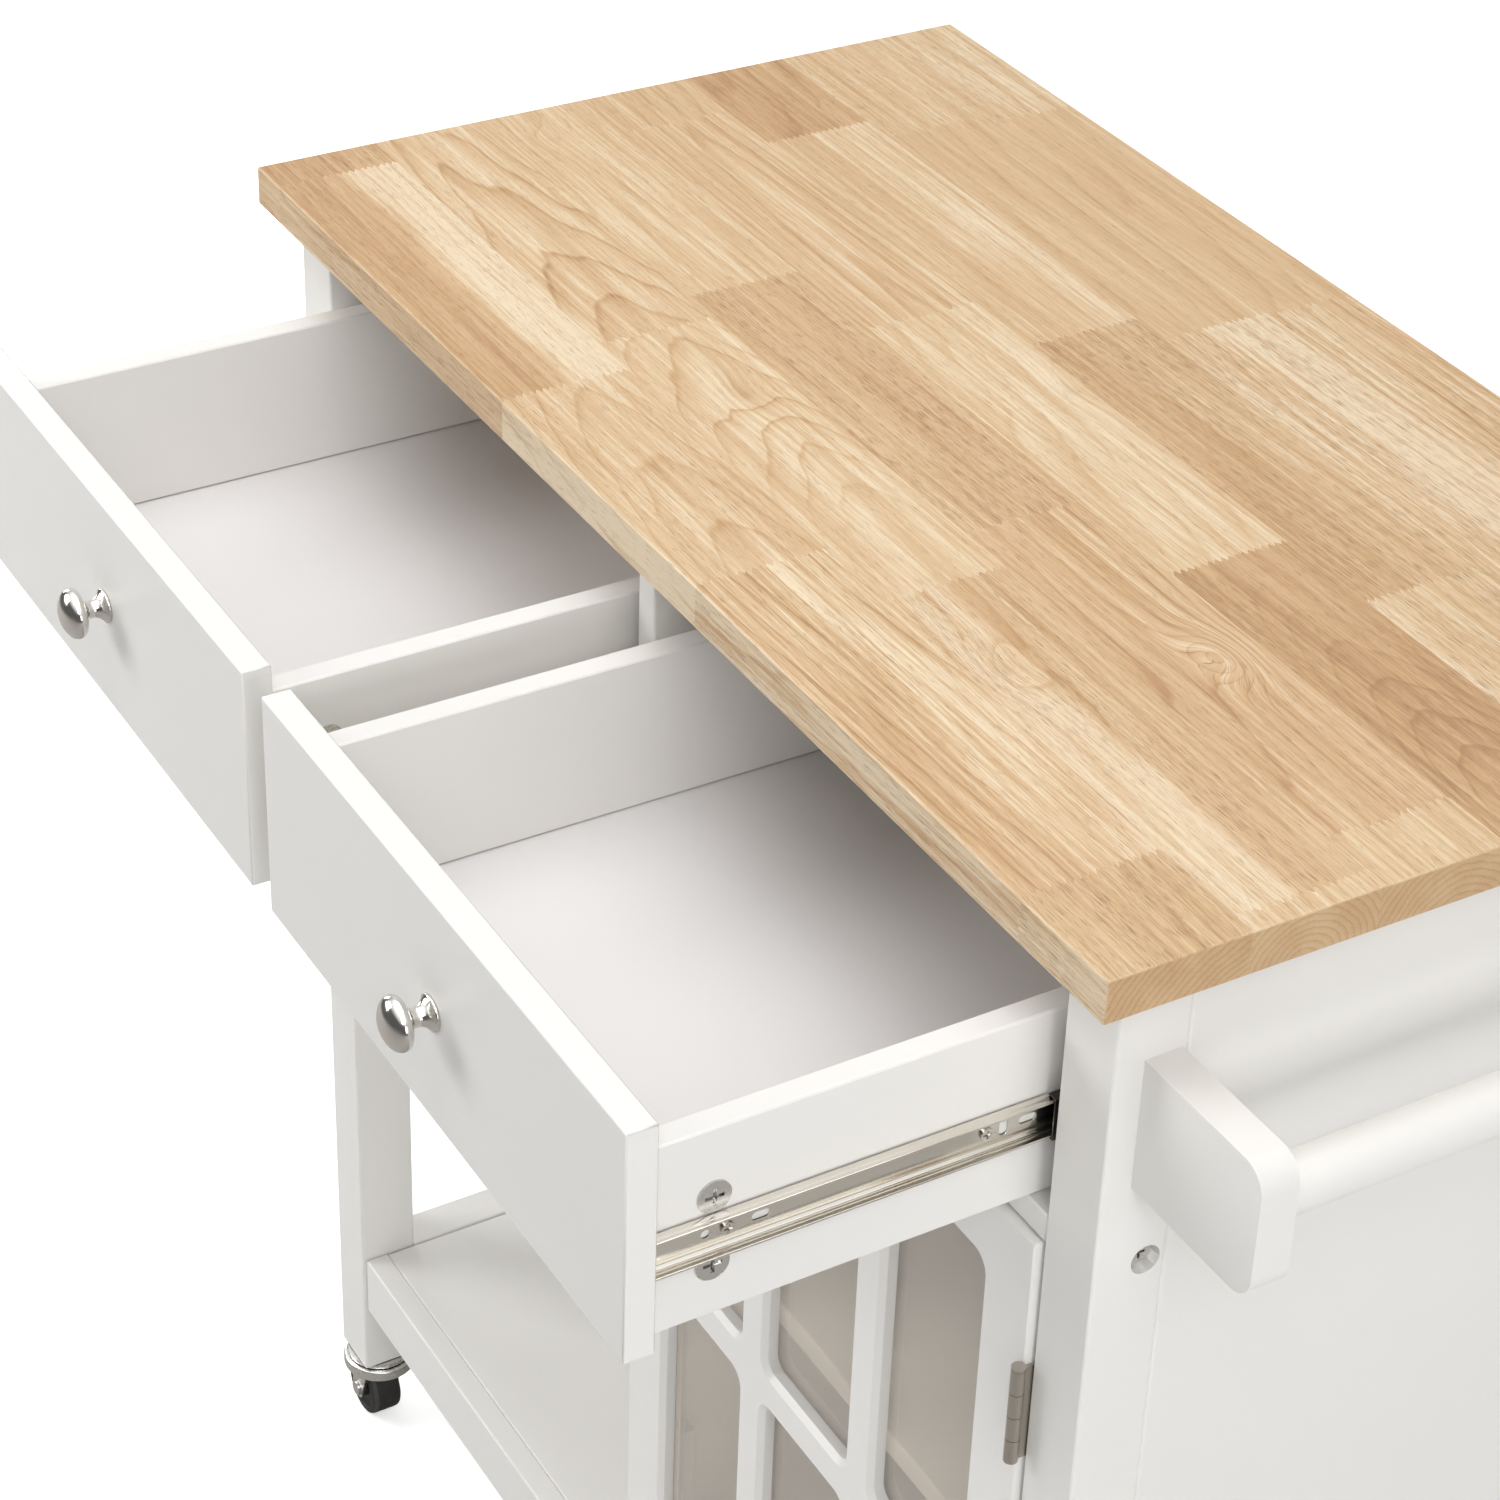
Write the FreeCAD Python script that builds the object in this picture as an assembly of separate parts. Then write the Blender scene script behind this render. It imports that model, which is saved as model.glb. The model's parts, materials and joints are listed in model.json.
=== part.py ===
import FreeCAD, Part
import math
import os
from FreeCAD import Vector

os.makedirs("parts", exist_ok=True)

slab_width = 824.0
slab_depth = 450.0
slab_thick = 22.0
slab_ease = 1.2
side_overhang = 14.0
front_overhang = 19.0
rear_overhang = 15.0

leg_wide = 36.0
leg_deep = 37.0
leg_tall = 835.0
board = 15.0
board_ease = 0.8
stile_wide = 16.0
top_rail_tall = 19.0
drawer_rail_deep = 60.0
bottom_rail_tall = 43.0
bottom_rail_set = 2.5
left_rail_thick = 27.0
shelf_rise = 94.5
shelf_gap = 1.0
back_thick = 6.0
cabinet_shelf_share = 0.54
cabinet_shelf_gap = 1.5
shelf_pin_round = 5.0
shelf_pin_long = 18.0
shelf_pin_deep = 8.0
shelf_pin_set = 40.0

front_gap = 2.5
face_proud = 3.5
drawer_open = 201.5
drawer_front_tall = 121.0
drawer_side_thick = 12.5
drawer_side_drop = 19.5
drawer_side_lift = 2.0
drawer_rear_clear = 39.5
drawer_back_drop = 12.0
groove_lift = 12.5
groove_deep = 6.0
groove_slack = 0.8
bottom_thick = 3.0
cam_round = 16.0
cam_deep = 10.0
cam_set = 30.0
cam_apart = 36.0
cam_cross_long = 9.0
cam_cross_wide = 1.8
cam_cross_deep = 2.0
screw_cross_share = 0.5
cam_bolt_round = 6.0
cam_bolt_deep = 9.0
box_screw_round = 4.0
box_screw_head = 8.0
box_screw_head_deep = 3.0
box_screw_long = 34.0
box_screw_set = 22.0

slide_gap = 10.6
slide_tall = 27.0
slide_set = 1.5
slide_drop = 53.5
slide_steel = 1.2
slide_inner_tall = 19.8
slide_inner_thick = 7.0
slide_outer_thick = 9.4
slide_lip = 3.0
slide_bend = 1.2
slide_race_set = 5.6
slide_race_wide = 3.2
slide_race_deep = 0.5
slide_race_shares = [(-0.5, 0.0), (-0.25, 0.75), (0.0, 1.0), (0.25, 0.75), (0.5, 0.0)]
slide_hole_round = 4.6
slide_hole_set = 26.0
slide_screw_sets = [36.0, 161.0]
slide_fixing_sets = [14.0, 200.0]
slide_slot_sets = [52.0, 182.0]
slide_slot_long = 9.0
slide_upright_set = 170.0
slide_screw_round = 3.6
slide_screw_head = 6.0
slide_screw_head_thick = 1.4
slide_screw_long = 9.0
cage_long = 92.0
cage_out = 12.0
cage_set = 2.8
cage_thick = 0.6
cage_clear = 0.1
ball_sets = [20.0, 50.0, 80.0]
batten_tall = 40.0
divider_batten_thick = 5.5

knob_out = 24.0
knob_foot_round = 18.0
knob_foot_rim = 1.5
knob_waist_round = 9.0
knob_waist_out = 8.5
knob_head_round = 26.0
knob_head_under_out = 13.0
knob_head_wide_out = 16.5
knob_shoulder_round = 22.8
knob_dome_rise = 3.8
knob_flare_shares = [0.67, 0.5]
knob_neck_shares = [0.25, 0.5]
knob_brim_shares = [0.67, 0.5]
knob_shoulder_shares = [0.33, 0.5]
knob_screw_round = 4.0
knob_screw_head = 8.0
knob_screw_head_thick = 2.2
knob_screw_deep = 9.0

door_gap = 2.0
door_lap = 6.0
door_stile = 37.0
door_bar = 24.0
door_top_rail = 37.0
door_row_share = 0.375
door_lip = 8.5
door_rebate = 8.0
door_round = 8.0
door_ease = 3.0
door_foot_gap = 2.5
door_edge_gap = 2.0
glass_thick = 3.0
bead_wide = 7.0
door_knob_drop = 216.0
strike_thick = 1.0
strike_wide = 12.0
strike_tall = 38.0

hinge_tall = 55.0
hinge_set = 69.0
hinge_knuckle_round = 6.8
hinge_out = 3.5
hinge_pin_round = 3.0
hinge_pin_tip = 1.5
hinge_pin_run = 0.06
hinge_leaf_thick = 0.9
hinge_leaf_deep = 14.0
hinge_knuckles = 4
hinge_knuckle_gap = 0.3
hinge_screw_round = 3.0
hinge_screw_long = 14.0
hinge_screw_head = 5.6
hinge_screw_head_deep = 0.7
hinge_screw_share = 0.25
hinge_root_share = 0.5

catch_share = 0.245
catch_tall = 46.0
catch_wide = 13.0
catch_deep = 18.0
catch_magnet_out = 0.4
catch_magnet_inset = 3.0

bracket_out = 82.5
bracket_thick = 19.0
bracket_tall = 68.0
bracket_drop = 61.5
bracket_set = 15.0
bracket_round = 13.0
bar_round = 26.0
bar_out = 60.0
bar_socket = 8.0
bracket_screw_drops = [11.0, 33.0]
bracket_screw_round = 4.5
bracket_screw_head = 9.0
bracket_screw_head_thick = 3.0
bracket_screw_deep = 30.0

bolt_head_round = 11.0
bolt_bore_round = 15.0
bolt_bore_deep = 9.0
bolt_head_thick = 4.0
bolt_round = 6.4
bolt_long = 60.0
bolt_set = 27.0
bolt_cross_share = 0.7

caster_tall = 61.0
caster_plate_round = 42.0
caster_plate_thick = 3.0
caster_stem_round = 10.0
caster_stem_long = 34.0
caster_crown_round = 48.0
caster_crown_thick = 2.4
caster_crown_ease = 1.6
caster_rim_tall = 5.0
caster_rim_thick = 2.2
caster_race_gap = 0.8
caster_neck_round = 12.0
caster_rivet_round = 20.0
caster_rivet_thick = 2.0
caster_run = 0.08
caster_trail = 9.0
caster_cheek_thick = 1.8
caster_cheek_gap = 0.9
caster_cheek_back = 20.0
caster_cheek_fore = 10.0
caster_cheek_foot = 7.0
wheel_round = 40.0
wheel_wide = 21.0
wheel_ease = 2.2
wheel_dish = 2.0
wheel_dish_round = 30.0
wheel_hub_round = 13.0
axle_round = 6.0
axle_head_round = 10.0
axle_head_thick = 1.6

cut_overrun = 1.0
corner_share = 1 - math.cos(math.pi / 4)

bar_reach = bracket_out - side_overhang
x_left = -(slab_width + bar_reach) / 2
x_right = x_left + slab_width
face_set = front_overhang - face_proud
y_front = (drawer_open + knob_out - face_set - slab_depth) / 2
frame_left = x_left + side_overhang
frame_right = x_right - side_overhang
frame_front = y_front + front_overhang
frame_rear = y_front + slab_depth - rear_overhang
bay_left = frame_left + leg_wide
bay_right = frame_right - leg_wide
side_front = frame_front + leg_deep
side_rear = frame_rear - leg_deep
leg_foot = caster_tall
slab_under = leg_foot + leg_tall
slab_top = slab_under + slab_thick
face_y = y_front + face_set
stile_left = (x_left + x_right - stile_wide) / 2
stile_right = stile_left + stile_wide
opening_top = slab_under - top_rail_tall
drawer_top = opening_top - front_gap
drawer_foot = drawer_top - drawer_front_tall
rail_top = drawer_foot - front_gap
rail_foot = rail_top - board
shelf_top = leg_foot + shelf_rise
cabinet_shelf_top = shelf_top + (rail_foot - shelf_top) * cabinet_shelf_share
catch_z = shelf_top + (rail_foot - shelf_top) * catch_share
bottom_rail_foot = shelf_top - bottom_rail_tall
back_y = frame_rear - board
box_top = drawer_top - drawer_side_drop
box_foot = drawer_foot + drawer_side_lift
slide_z = box_top - slide_drop
face_back = face_y + board
drawer_long = back_y - face_back - drawer_rear_clear
slide_long = drawer_long
door_left = stile_right - door_lap
door_right = bay_right - door_edge_gap
door_wide = door_right - door_left
door_top = rail_foot - door_gap
door_foot = shelf_top + door_foot_gap
door_row_tall = (door_top - door_foot) * door_row_share
hinge_x = bay_right - door_edge_gap / 2
hinge_y = face_y - hinge_out
axis_x = Vector(1, 0, 0)
axis_y = Vector(0, 1, 0)
axis_z = Vector(0, 0, 1)


def block(x0, y0, z0, x1, y1, z1):
    return Part.makeBox(x1 - x0, y1 - y0, z1 - z0, Vector(x0, y0, z0))


def eased(shape, size):
    return shape.makeChamfer(size, shape.Edges)


def plank(x0, y0, z0, x1, y1, z1):
    return eased(block(x0, y0, z0, x1, y1, z1), board_ease)


def rod(diameter, length, x, y, z, axis):
    return Part.makeCylinder(diameter / 2, length, Vector(x, y, z), axis)


def cut_all(shape, cutters):
    for cutter in cutters:
        shape = shape.cut(cutter)
    return shape


def solids_of(shapes):
    found = []
    for shape in shapes:
        found.extend(shape.Solids)
    return found


def save(node, shapes):
    solids = solids_of(shapes)
    shape = solids[0] if len(solids) == 1 else Part.makeCompound(solids)
    shape.exportStep("parts/" + node + ".step")


def tabletop():
    return eased(block(x_left, y_front, slab_under, x_right, y_front + slab_depth, slab_top), slab_ease)


def bolt_places():
    rail_y = frame_front + bolt_set
    low_y = frame_front + bottom_rail_set + board / 2
    rear_y = frame_rear - board / 2
    low_z = shelf_top - bottom_rail_tall / 2
    apron_z = slab_under - (slab_under - rail_foot) / 2
    return [
        (rail_y, rail_top - board / 2),
        (low_y, low_z),
        (rear_y, low_z),
        (rear_y, apron_z),
    ]


def bolt(side, y, z):
    outer = frame_left if side < 0 else frame_right
    inward = Vector(-side, 0, 0)
    head_x = outer - side * (bolt_bore_deep - bolt_head_thick)
    seat_x = outer - side * bolt_bore_deep
    head = rod(bolt_head_round, bolt_head_thick, head_x, y, z, inward)
    shank = rod(bolt_round, bolt_long, seat_x, y, z, inward)
    return crossed(head.fuse(shank), head_x, y, z, side, bolt_cross_share)


def bolt_bore(side, y, z):
    outer = frame_left if side < 0 else frame_right
    inward = Vector(-side, 0, 0)
    bore = rod(bolt_bore_round, bolt_bore_deep + cut_overrun, outer + side * cut_overrun, y, z, inward)
    return bore.fuse(rod(bolt_round, bolt_long, outer - side * bolt_bore_deep, y, z, inward))


def all_bolts(maker):
    return [maker(side, y, z) for side in (-1, 1) for y, z in bolt_places()]


def bracket_screw_places():
    top = slab_top - bracket_drop
    front = frame_front + bracket_set + bracket_thick / 2
    rear = frame_rear - bracket_set - bracket_thick / 2
    return [(y, top - drop) for y in (front, rear) for drop in bracket_screw_drops]


def bracket_screw(y, z, spare):
    head = rod(bracket_screw_head, bracket_screw_head_thick + spare, bay_right - spare, y, z, axis_x)
    length = leg_wide + bracket_screw_deep - bracket_screw_head_thick
    shank = rod(bracket_screw_round, length, bay_right + bracket_screw_head_thick, y, z, axis_x)
    return head.fuse(shank).removeSplitter()


def caster_centers():
    xs = (frame_left + leg_wide / 2, frame_right - leg_wide / 2)
    ys = (frame_front + leg_deep / 2, frame_rear - leg_deep / 2)
    names = ("left", "right")
    depths = ("front", "rear")
    return [(depths[j] + "_" + names[i], xs[i], ys[j]) for j in (0, 1) for i in (0, 1)]


def legs():
    cutters = all_bolts(bolt_bore)
    cutters += [bracket_screw(y, z, cut_overrun) for y, z in bracket_screw_places()]
    made = {}
    for name, x, y in caster_centers():
        half_x = leg_wide / 2
        half_y = leg_deep / 2
        post = plank(x - half_x, y - half_y, leg_foot, x + half_x, y + half_y, slab_under)
        post = post.cut(rod(caster_stem_round, caster_stem_long, x, y, leg_foot, axis_z))
        near = [c for c in cutters if c.BoundBox.intersect(post.BoundBox)]
        made[name + "_leg"] = cut_all(post, near)
    return made


def rails():
    bores = all_bolts(bolt_bore)
    rail_rear = frame_front + drawer_rail_deep
    set_front = frame_front + bottom_rail_set
    low = (bottom_rail_foot, shelf_top)
    made = {
        "top_front_rail": plank(bay_left, frame_front, opening_top, bay_right, side_front, slab_under),
        "drawer_rail": plank(bay_left, frame_front, rail_foot, bay_right, rail_rear, rail_top),
        "drawer_stile": plank(stile_left, frame_front, rail_top, stile_right, side_front, opening_top),
        "front_bottom_rail": plank(bay_left, set_front, low[0], bay_right, set_front + board, low[1]),
        "rear_bottom_rail": plank(bay_left, back_y, low[0], bay_right, frame_rear, low[1]),
        "rear_apron": plank(bay_left, back_y, rail_foot, bay_right, frame_rear, slab_under),
    }
    for node in list(made):
        rail = made[node]
        near = [bore for bore in bores if bore.BoundBox.intersect(rail.BoundBox)]
        made[node] = cut_all(rail, near)
    made["side_bottom_rails"] = Part.makeCompound([
        plank(bay_left - left_rail_thick, side_front, low[0], bay_left, side_rear, low[1]),
        plank(bay_right, side_front, low[0], frame_right - board, side_rear, low[1]),
    ])
    return made


def panels():
    batten_low = slide_z - batten_tall / 2
    batten_high = slide_z + batten_tall / 2
    inner_right = frame_right - board
    shelf_front = frame_front + bottom_rail_set + board
    shelf_x = bay_left + shelf_gap
    back = plank(stile_left, back_y, shelf_top, bay_right, back_y + back_thick, rail_foot)
    side = plank(inner_right, side_front, bottom_rail_foot, frame_right, side_rear, slab_under)
    low_shelf = plank(shelf_x, shelf_front, shelf_top - board, bay_right, back_y, shelf_top)
    packed_x = stile_right + divider_batten_thick
    batten_front = face_back + slide_set
    return {
        "right_side_panel": side.cut(shelf_pins()),
        "left_apron": plank(frame_left, side_front, rail_foot, frame_left + board, side_rear, slab_under),
        "slide_battens": Part.makeCompound([
            plank(bay_right, side_front, batten_low, inner_right, side_rear, batten_high),
            plank(frame_left + board, side_front, batten_low, bay_left, side_rear, batten_high),
            plank(stile_right, batten_front, batten_low, packed_x, side_rear, batten_high),
        ]),
        "back_panel": back,
        "bottom_shelf": low_shelf,
        "divider_panel": divider().cut(shelf_pins()),
        "cabinet_shelf": cabinet_shelf(),
        "shelf_pins": shelf_pins(),
    }


def divider():
    lap_y = face_back + door_gap / 2
    rail_rear = frame_front + drawer_rail_deep
    outline = [
        (lap_y, shelf_top), (back_y, shelf_top), (back_y, slab_under), (side_front, slab_under),
        (side_front, rail_top), (rail_rear, rail_top), (rail_rear, rail_foot), (lap_y, rail_foot),
    ]
    corners = [Vector(stile_left, y, z) for y, z in outline]
    face = Part.Face(Part.makePolygon(corners + [corners[0]]))
    return face.extrude(Vector(stile_wide, 0, 0))


def shelf_pins():
    pins = []
    pin_z = cabinet_shelf_top - board - shelf_pin_round / 2
    for y in (side_front + shelf_pin_set, side_rear - shelf_pin_set):
        for start, way in ((stile_right - shelf_pin_deep, 1), (frame_right - board + shelf_pin_deep, -1)):
            pins.append(rod(shelf_pin_round, shelf_pin_long, start, y, pin_z, Vector(way, 0, 0)))
    return Part.makeCompound(pins)


def cabinet_shelf():
    top = cabinet_shelf_top
    x0 = stile_right + cabinet_shelf_gap
    x1 = frame_right - board - cabinet_shelf_gap
    y0 = side_front + cabinet_shelf_gap
    return plank(x0, y0, top - board, x1, side_rear - cabinet_shelf_gap, top)


def bracket_outline(y):
    top = slab_top - bracket_drop
    foot = top - bracket_tall
    near = frame_right
    far = frame_right + bracket_out
    r = bracket_round
    bend = r * corner_share
    low = [Vector(far - r, y, foot), Vector(far - bend, y, foot + bend), Vector(far, y, foot + r)]
    high = [Vector(far, y, top - r), Vector(far - bend, y, top - bend), Vector(far - r, y, top)]
    edges = [
        Part.makeLine(Vector(near, y, foot), low[0]),
        Part.Arc(*low).toShape(),
        Part.makeLine(low[-1], high[0]),
        Part.Arc(*high).toShape(),
        Part.makeLine(high[-1], Vector(near, y, top)),
        Part.makeLine(Vector(near, y, top), Vector(near, y, foot)),
    ]
    return Part.Face(Part.Wire(edges))


def towel_rail():
    front = frame_front + bracket_set
    rear = frame_rear - bracket_set - bracket_thick
    bar_z = slab_top - bracket_drop - bracket_tall / 2
    start = front + bracket_thick - bar_socket
    length = rear + bar_socket - start
    bar = rod(bar_round, length, frame_right + bar_out, start, bar_z, axis_y)
    holes = [bracket_screw(y, z, 0) for y, z in bracket_screw_places()]
    brackets = []
    for y in (front, rear):
        plate = bracket_outline(y).extrude(Vector(0, bracket_thick, 0))
        brackets.append(cut_all(plate.cut(bar), holes))
    return {
        "towel_bar": bar,
        "towel_brackets": brackets,
    }


def bays():
    packed_x = stile_right + divider_batten_thick
    return (("left", bay_left, stile_left, bay_left), ("right", stile_right, bay_right, packed_x))


def slide_member(wall_x, way, thick, half, race, deep, lip):
    steel = slide_steel
    outer = race_line(0, thick, half, race, deep)
    if lip:
        outer.append((thick, half - lip))
        inner = race_line(steel, thick - steel, half - steel, race, deep)
        inner.append((thick - steel, half - lip))
    else:
        inner = race_line(steel, thick, half - steel, race, deep)
    upper = outer + inner[::-1]
    lower = [(depth, -z) for depth, z in reversed(upper)]
    corners = [Vector(wall_x + way * depth, 0, slide_z + z) for depth, z in upper + lower]
    face = Part.Face(Part.makePolygon(corners + [corners[0]]))
    return face.extrude(axis_y * slide_long)


def race_line(near, far, z, race, deep):
    points = [(near, z - slide_bend), (near + slide_bend, z)]
    for across, down in slide_race_shares:
        points.append((race + slide_race_wide * across, z - deep * down))
    points.append((far, z))
    return points


def slot_cutter(x, y, z, along):
    reach = slide_steel + cut_overrun
    side = slide_hole_round / 2
    half = slide_slot_long / 2 - side
    half_y = half if along.y else side
    half_z = side if along.y else half
    slot = block(x - reach, y - half_y, z - half_z, x + reach, y + half_y, z + half_z)
    for way in (-half, half):
        end = rod(slide_hole_round, 2 * reach, x - reach, y + way * along.y, z + way * along.z, axis_x)
        slot = slot.fuse(end)
    return slot


def slide_cutters(wall_x, start_y, screw_sets):
    y = start_y
    reach = slide_steel + cut_overrun
    cutters = [rod(slide_hole_round, 2 * reach, wall_x - reach, y + slide_hole_set, slide_z, axis_x)]
    for place in slide_slot_sets:
        cutters.append(slot_cutter(wall_x, y + place, slide_z, axis_y))
    cutters.append(slot_cutter(wall_x, y + slide_upright_set, slide_z, axis_z))
    for place in screw_sets:
        cutters.append(rod(slide_screw_round, 2 * reach, wall_x - reach, y + place, slide_z, axis_x))
    return cutters


def slide_screws(wall_x, way, start_y, screw_sets):
    seat = wall_x + way * slide_steel
    top = seat + way * slide_screw_head_thick
    screws = []
    for place in screw_sets:
        y = start_y + place
        head = rod(slide_screw_head, slide_screw_head_thick, seat, y, slide_z, Vector(way, 0, 0))
        shank = rod(slide_screw_round, slide_screw_long, seat, y, slide_z, Vector(-way, 0, 0))
        screws.append(crossed(head.fuse(shank), top, y, slide_z, way, screw_cross_share))
    return screws


def crossed(shape, x, y, z, way, share):
    half = cam_cross_long * share / 2
    thin = cam_cross_wide * share / 2
    deep = cam_cross_deep * share
    x0 = min(x - way * deep, x + way * cut_overrun)
    x1 = max(x - way * deep, x + way * cut_overrun)
    tall = block(x0, y - thin, z - half, x1, y + thin, z + half)
    wide = block(x0, y - half, z - thin, x1, y + half, z + thin)
    return shape.cut(tall.fuse(wide)).removeSplitter()


def slide_sides(low_x, high_x):
    return ((low_x, low_x + slide_gap, 1), (high_x, high_x - slide_gap, -1))


def cabinet_slides():
    members = []
    screws = []
    start = face_back + slide_set
    half = slide_tall / 2 - slide_race_deep
    swell = -slide_race_deep
    for _, _, high_x, packed_x in bays():
        for wall_x, _, way in slide_sides(packed_x, high_x):
            shape = slide_member(wall_x, way, slide_outer_thick, half, slide_race_set, swell, slide_lip)
            shape.translate(Vector(0, start, 0))
            members.append(cut_all(shape, slide_cutters(wall_x, start, slide_fixing_sets)))
            screws += slide_screws(wall_x, way, start, slide_fixing_sets)
    return members, screws


def slide_cages(low_x, high_x):
    y0 = face_back + slide_set - cage_out
    half = (slide_inner_tall / 2 + slide_tall / 2 - slide_race_deep - slide_steel + cage_thick) / 2
    ball_z = (slide_inner_tall / 2 + slide_tall / 2 - slide_steel - slide_race_deep) / 2
    ball_round = slide_tall / 2 - slide_steel - slide_inner_tall / 2 + slide_race_deep - cage_clear
    cages = []
    for wall_x, _, way in slide_sides(low_x, high_x):
        near = wall_x + way * cage_set
        far = wall_x + way * (slide_outer_thick - slide_steel - cage_clear)
        shape = block(min(near, far), y0, slide_z - half, max(near, far), y0 + cage_long, slide_z + half)
        hollow_x = sorted((near + way * cage_thick, far + way * cut_overrun))
        hollow_z = half - cage_thick
        inside = block(hollow_x[0], y0 - cut_overrun, slide_z - hollow_z,
                       hollow_x[1], y0 + cage_long + cut_overrun, slide_z + hollow_z)
        shape = shape.cut(inside)
        for place in ball_sets:
            for up in (-1, 1):
                centre = Vector(wall_x + way * slide_race_set, y0 + place, slide_z + up * ball_z)
                shape = shape.fuse(Part.makeSphere(ball_round / 2, centre))
        cages.append(shape)
    return Part.makeCompound(cages)


def drawer(name, low_x, high_x, packed_x):
    shift = Vector(0, -drawer_open, 0)
    side = drawer_side_thick
    front_x0 = low_x + front_gap
    front_x1 = high_x - front_gap
    box_x0 = packed_x + slide_gap
    box_x1 = high_x - slide_gap
    box_y1 = face_back + drawer_long
    knob_x = (front_x0 + front_x1) / 2
    knob_z = (drawer_top + drawer_foot) / 2
    front = plank(front_x0, face_y, drawer_foot, front_x1, face_back, drawer_top)
    left = plank(box_x0, face_back, box_foot, box_x0 + side, box_y1, box_top)
    right = plank(box_x1 - side, face_back, box_foot, box_x1, box_y1, box_top)
    back_foot = box_foot + groove_lift + bottom_thick
    back = plank(box_x0 + side, box_y1 - side, back_foot, box_x1 - side, box_y1, box_top - drawer_back_drop)
    floor_x0 = box_x0 + side - groove_deep
    floor_x1 = box_x1 - side + groove_deep
    floor_z = box_foot + groove_lift
    floor_y0 = face_back - groove_deep
    floor_top = floor_z + bottom_thick
    floor = block(floor_x0, floor_y0, floor_z, floor_x1, box_y1, floor_top)
    groove = block(floor_x0, floor_y0, floor_z, floor_x1, box_y1, floor_top + groove_slack)
    cams, cam_bolts = drawer_cams(box_x0, box_x1)
    screws = drawer_back_screws(box_x0, box_x1, box_y1, back_foot)
    rails_made, rail_screws = drawer_rails(box_x0, box_x1)
    knob = knob_shape(knob_x, face_y, knob_z)
    screw = knob_screw(knob_x, face_back, knob_z, board)
    front = cut_all(front, cam_bolts + [groove, screw])
    left = cut_all(left, cams[:2] + cam_bolts[:2] + [groove] + screws + rail_screws)
    right = cut_all(right, cams[2:] + cam_bolts[2:] + [groove] + screws + rail_screws)
    back = cut_all(back, screws)
    cams = [cam_slotted(cam, index, box_x0, box_x1) for index, cam in enumerate(cams)]
    nodes = {
        "_drawer_front": [front], "_drawer_left_side": [left], "_drawer_right_side": [right],
        "_drawer_back": [back], "_drawer_bottom": [floor], "_drawer_knob": [knob.cut(screw), screw],
        "_drawer_fittings": cams + cam_bolts + screws, "_drawer_rails": rails_made + rail_screws,
    }
    return {name + key: [shape.translated(shift) for shape in shapes] for key, shapes in nodes.items()}


def drawer_cams(box_x0, box_x1):
    cams = []
    cam_bolts = []
    y = face_back + cam_set
    for x, way in ((box_x0, 1), (box_x1, -1)):
        for up in (-1, 1):
            z = slide_z + up * cam_apart / 2
            cams.append(rod(cam_round, cam_deep, x, y, z, Vector(way, 0, 0)))
            start = face_back - cam_bolt_deep
            length = cam_set - cam_round / 2 + cam_bolt_deep
            bolt_x = x + way * drawer_side_thick / 2
            cam_bolts.append(rod(cam_bolt_round, length, bolt_x, start, z, axis_y).cut(cams[-1]))
    return cams, cam_bolts


def cam_slotted(cam, index, box_x0, box_x1):
    low = index < 2
    up = -1 if index % 2 == 0 else 1
    x = box_x0 if low else box_x1
    return crossed(cam, x, face_back + cam_set, slide_z + up * cam_apart / 2, -1 if low else 1, 1.0)


def drawer_back_screws(box_x0, box_x1, box_y1, back_foot):
    screws = []
    back_top = box_top - drawer_back_drop
    for x, way in ((box_x0, 1), (box_x1, -1)):
        for z in (back_foot + box_screw_set, back_top - box_screw_set):
            y = box_y1 - drawer_side_thick / 2
            head = rod(box_screw_head, box_screw_head_deep, x, y, z, Vector(way, 0, 0))
            screws.append(head.fuse(rod(box_screw_round, box_screw_long, x, y, z, Vector(way, 0, 0))))
    return screws


def drawer_rails(box_x0, box_x1):
    members = []
    screws = []
    for wall_x, way in ((box_x0, -1), (box_x1, 1)):
        race = slide_gap - slide_race_set
        shape = slide_member(wall_x, way, slide_inner_thick, slide_inner_tall / 2, race, slide_race_deep, 0)
        shape.translate(Vector(0, face_back, 0))
        members.append(cut_all(shape, slide_cutters(wall_x, face_back, slide_screw_sets)))
        screws += slide_screws(wall_x, way, face_back, slide_screw_sets)
    return members, screws


def between(start, end, shares):
    step = end - start
    return start + Vector(step.x * shares[0], step.y * shares[1], 0)


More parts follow.
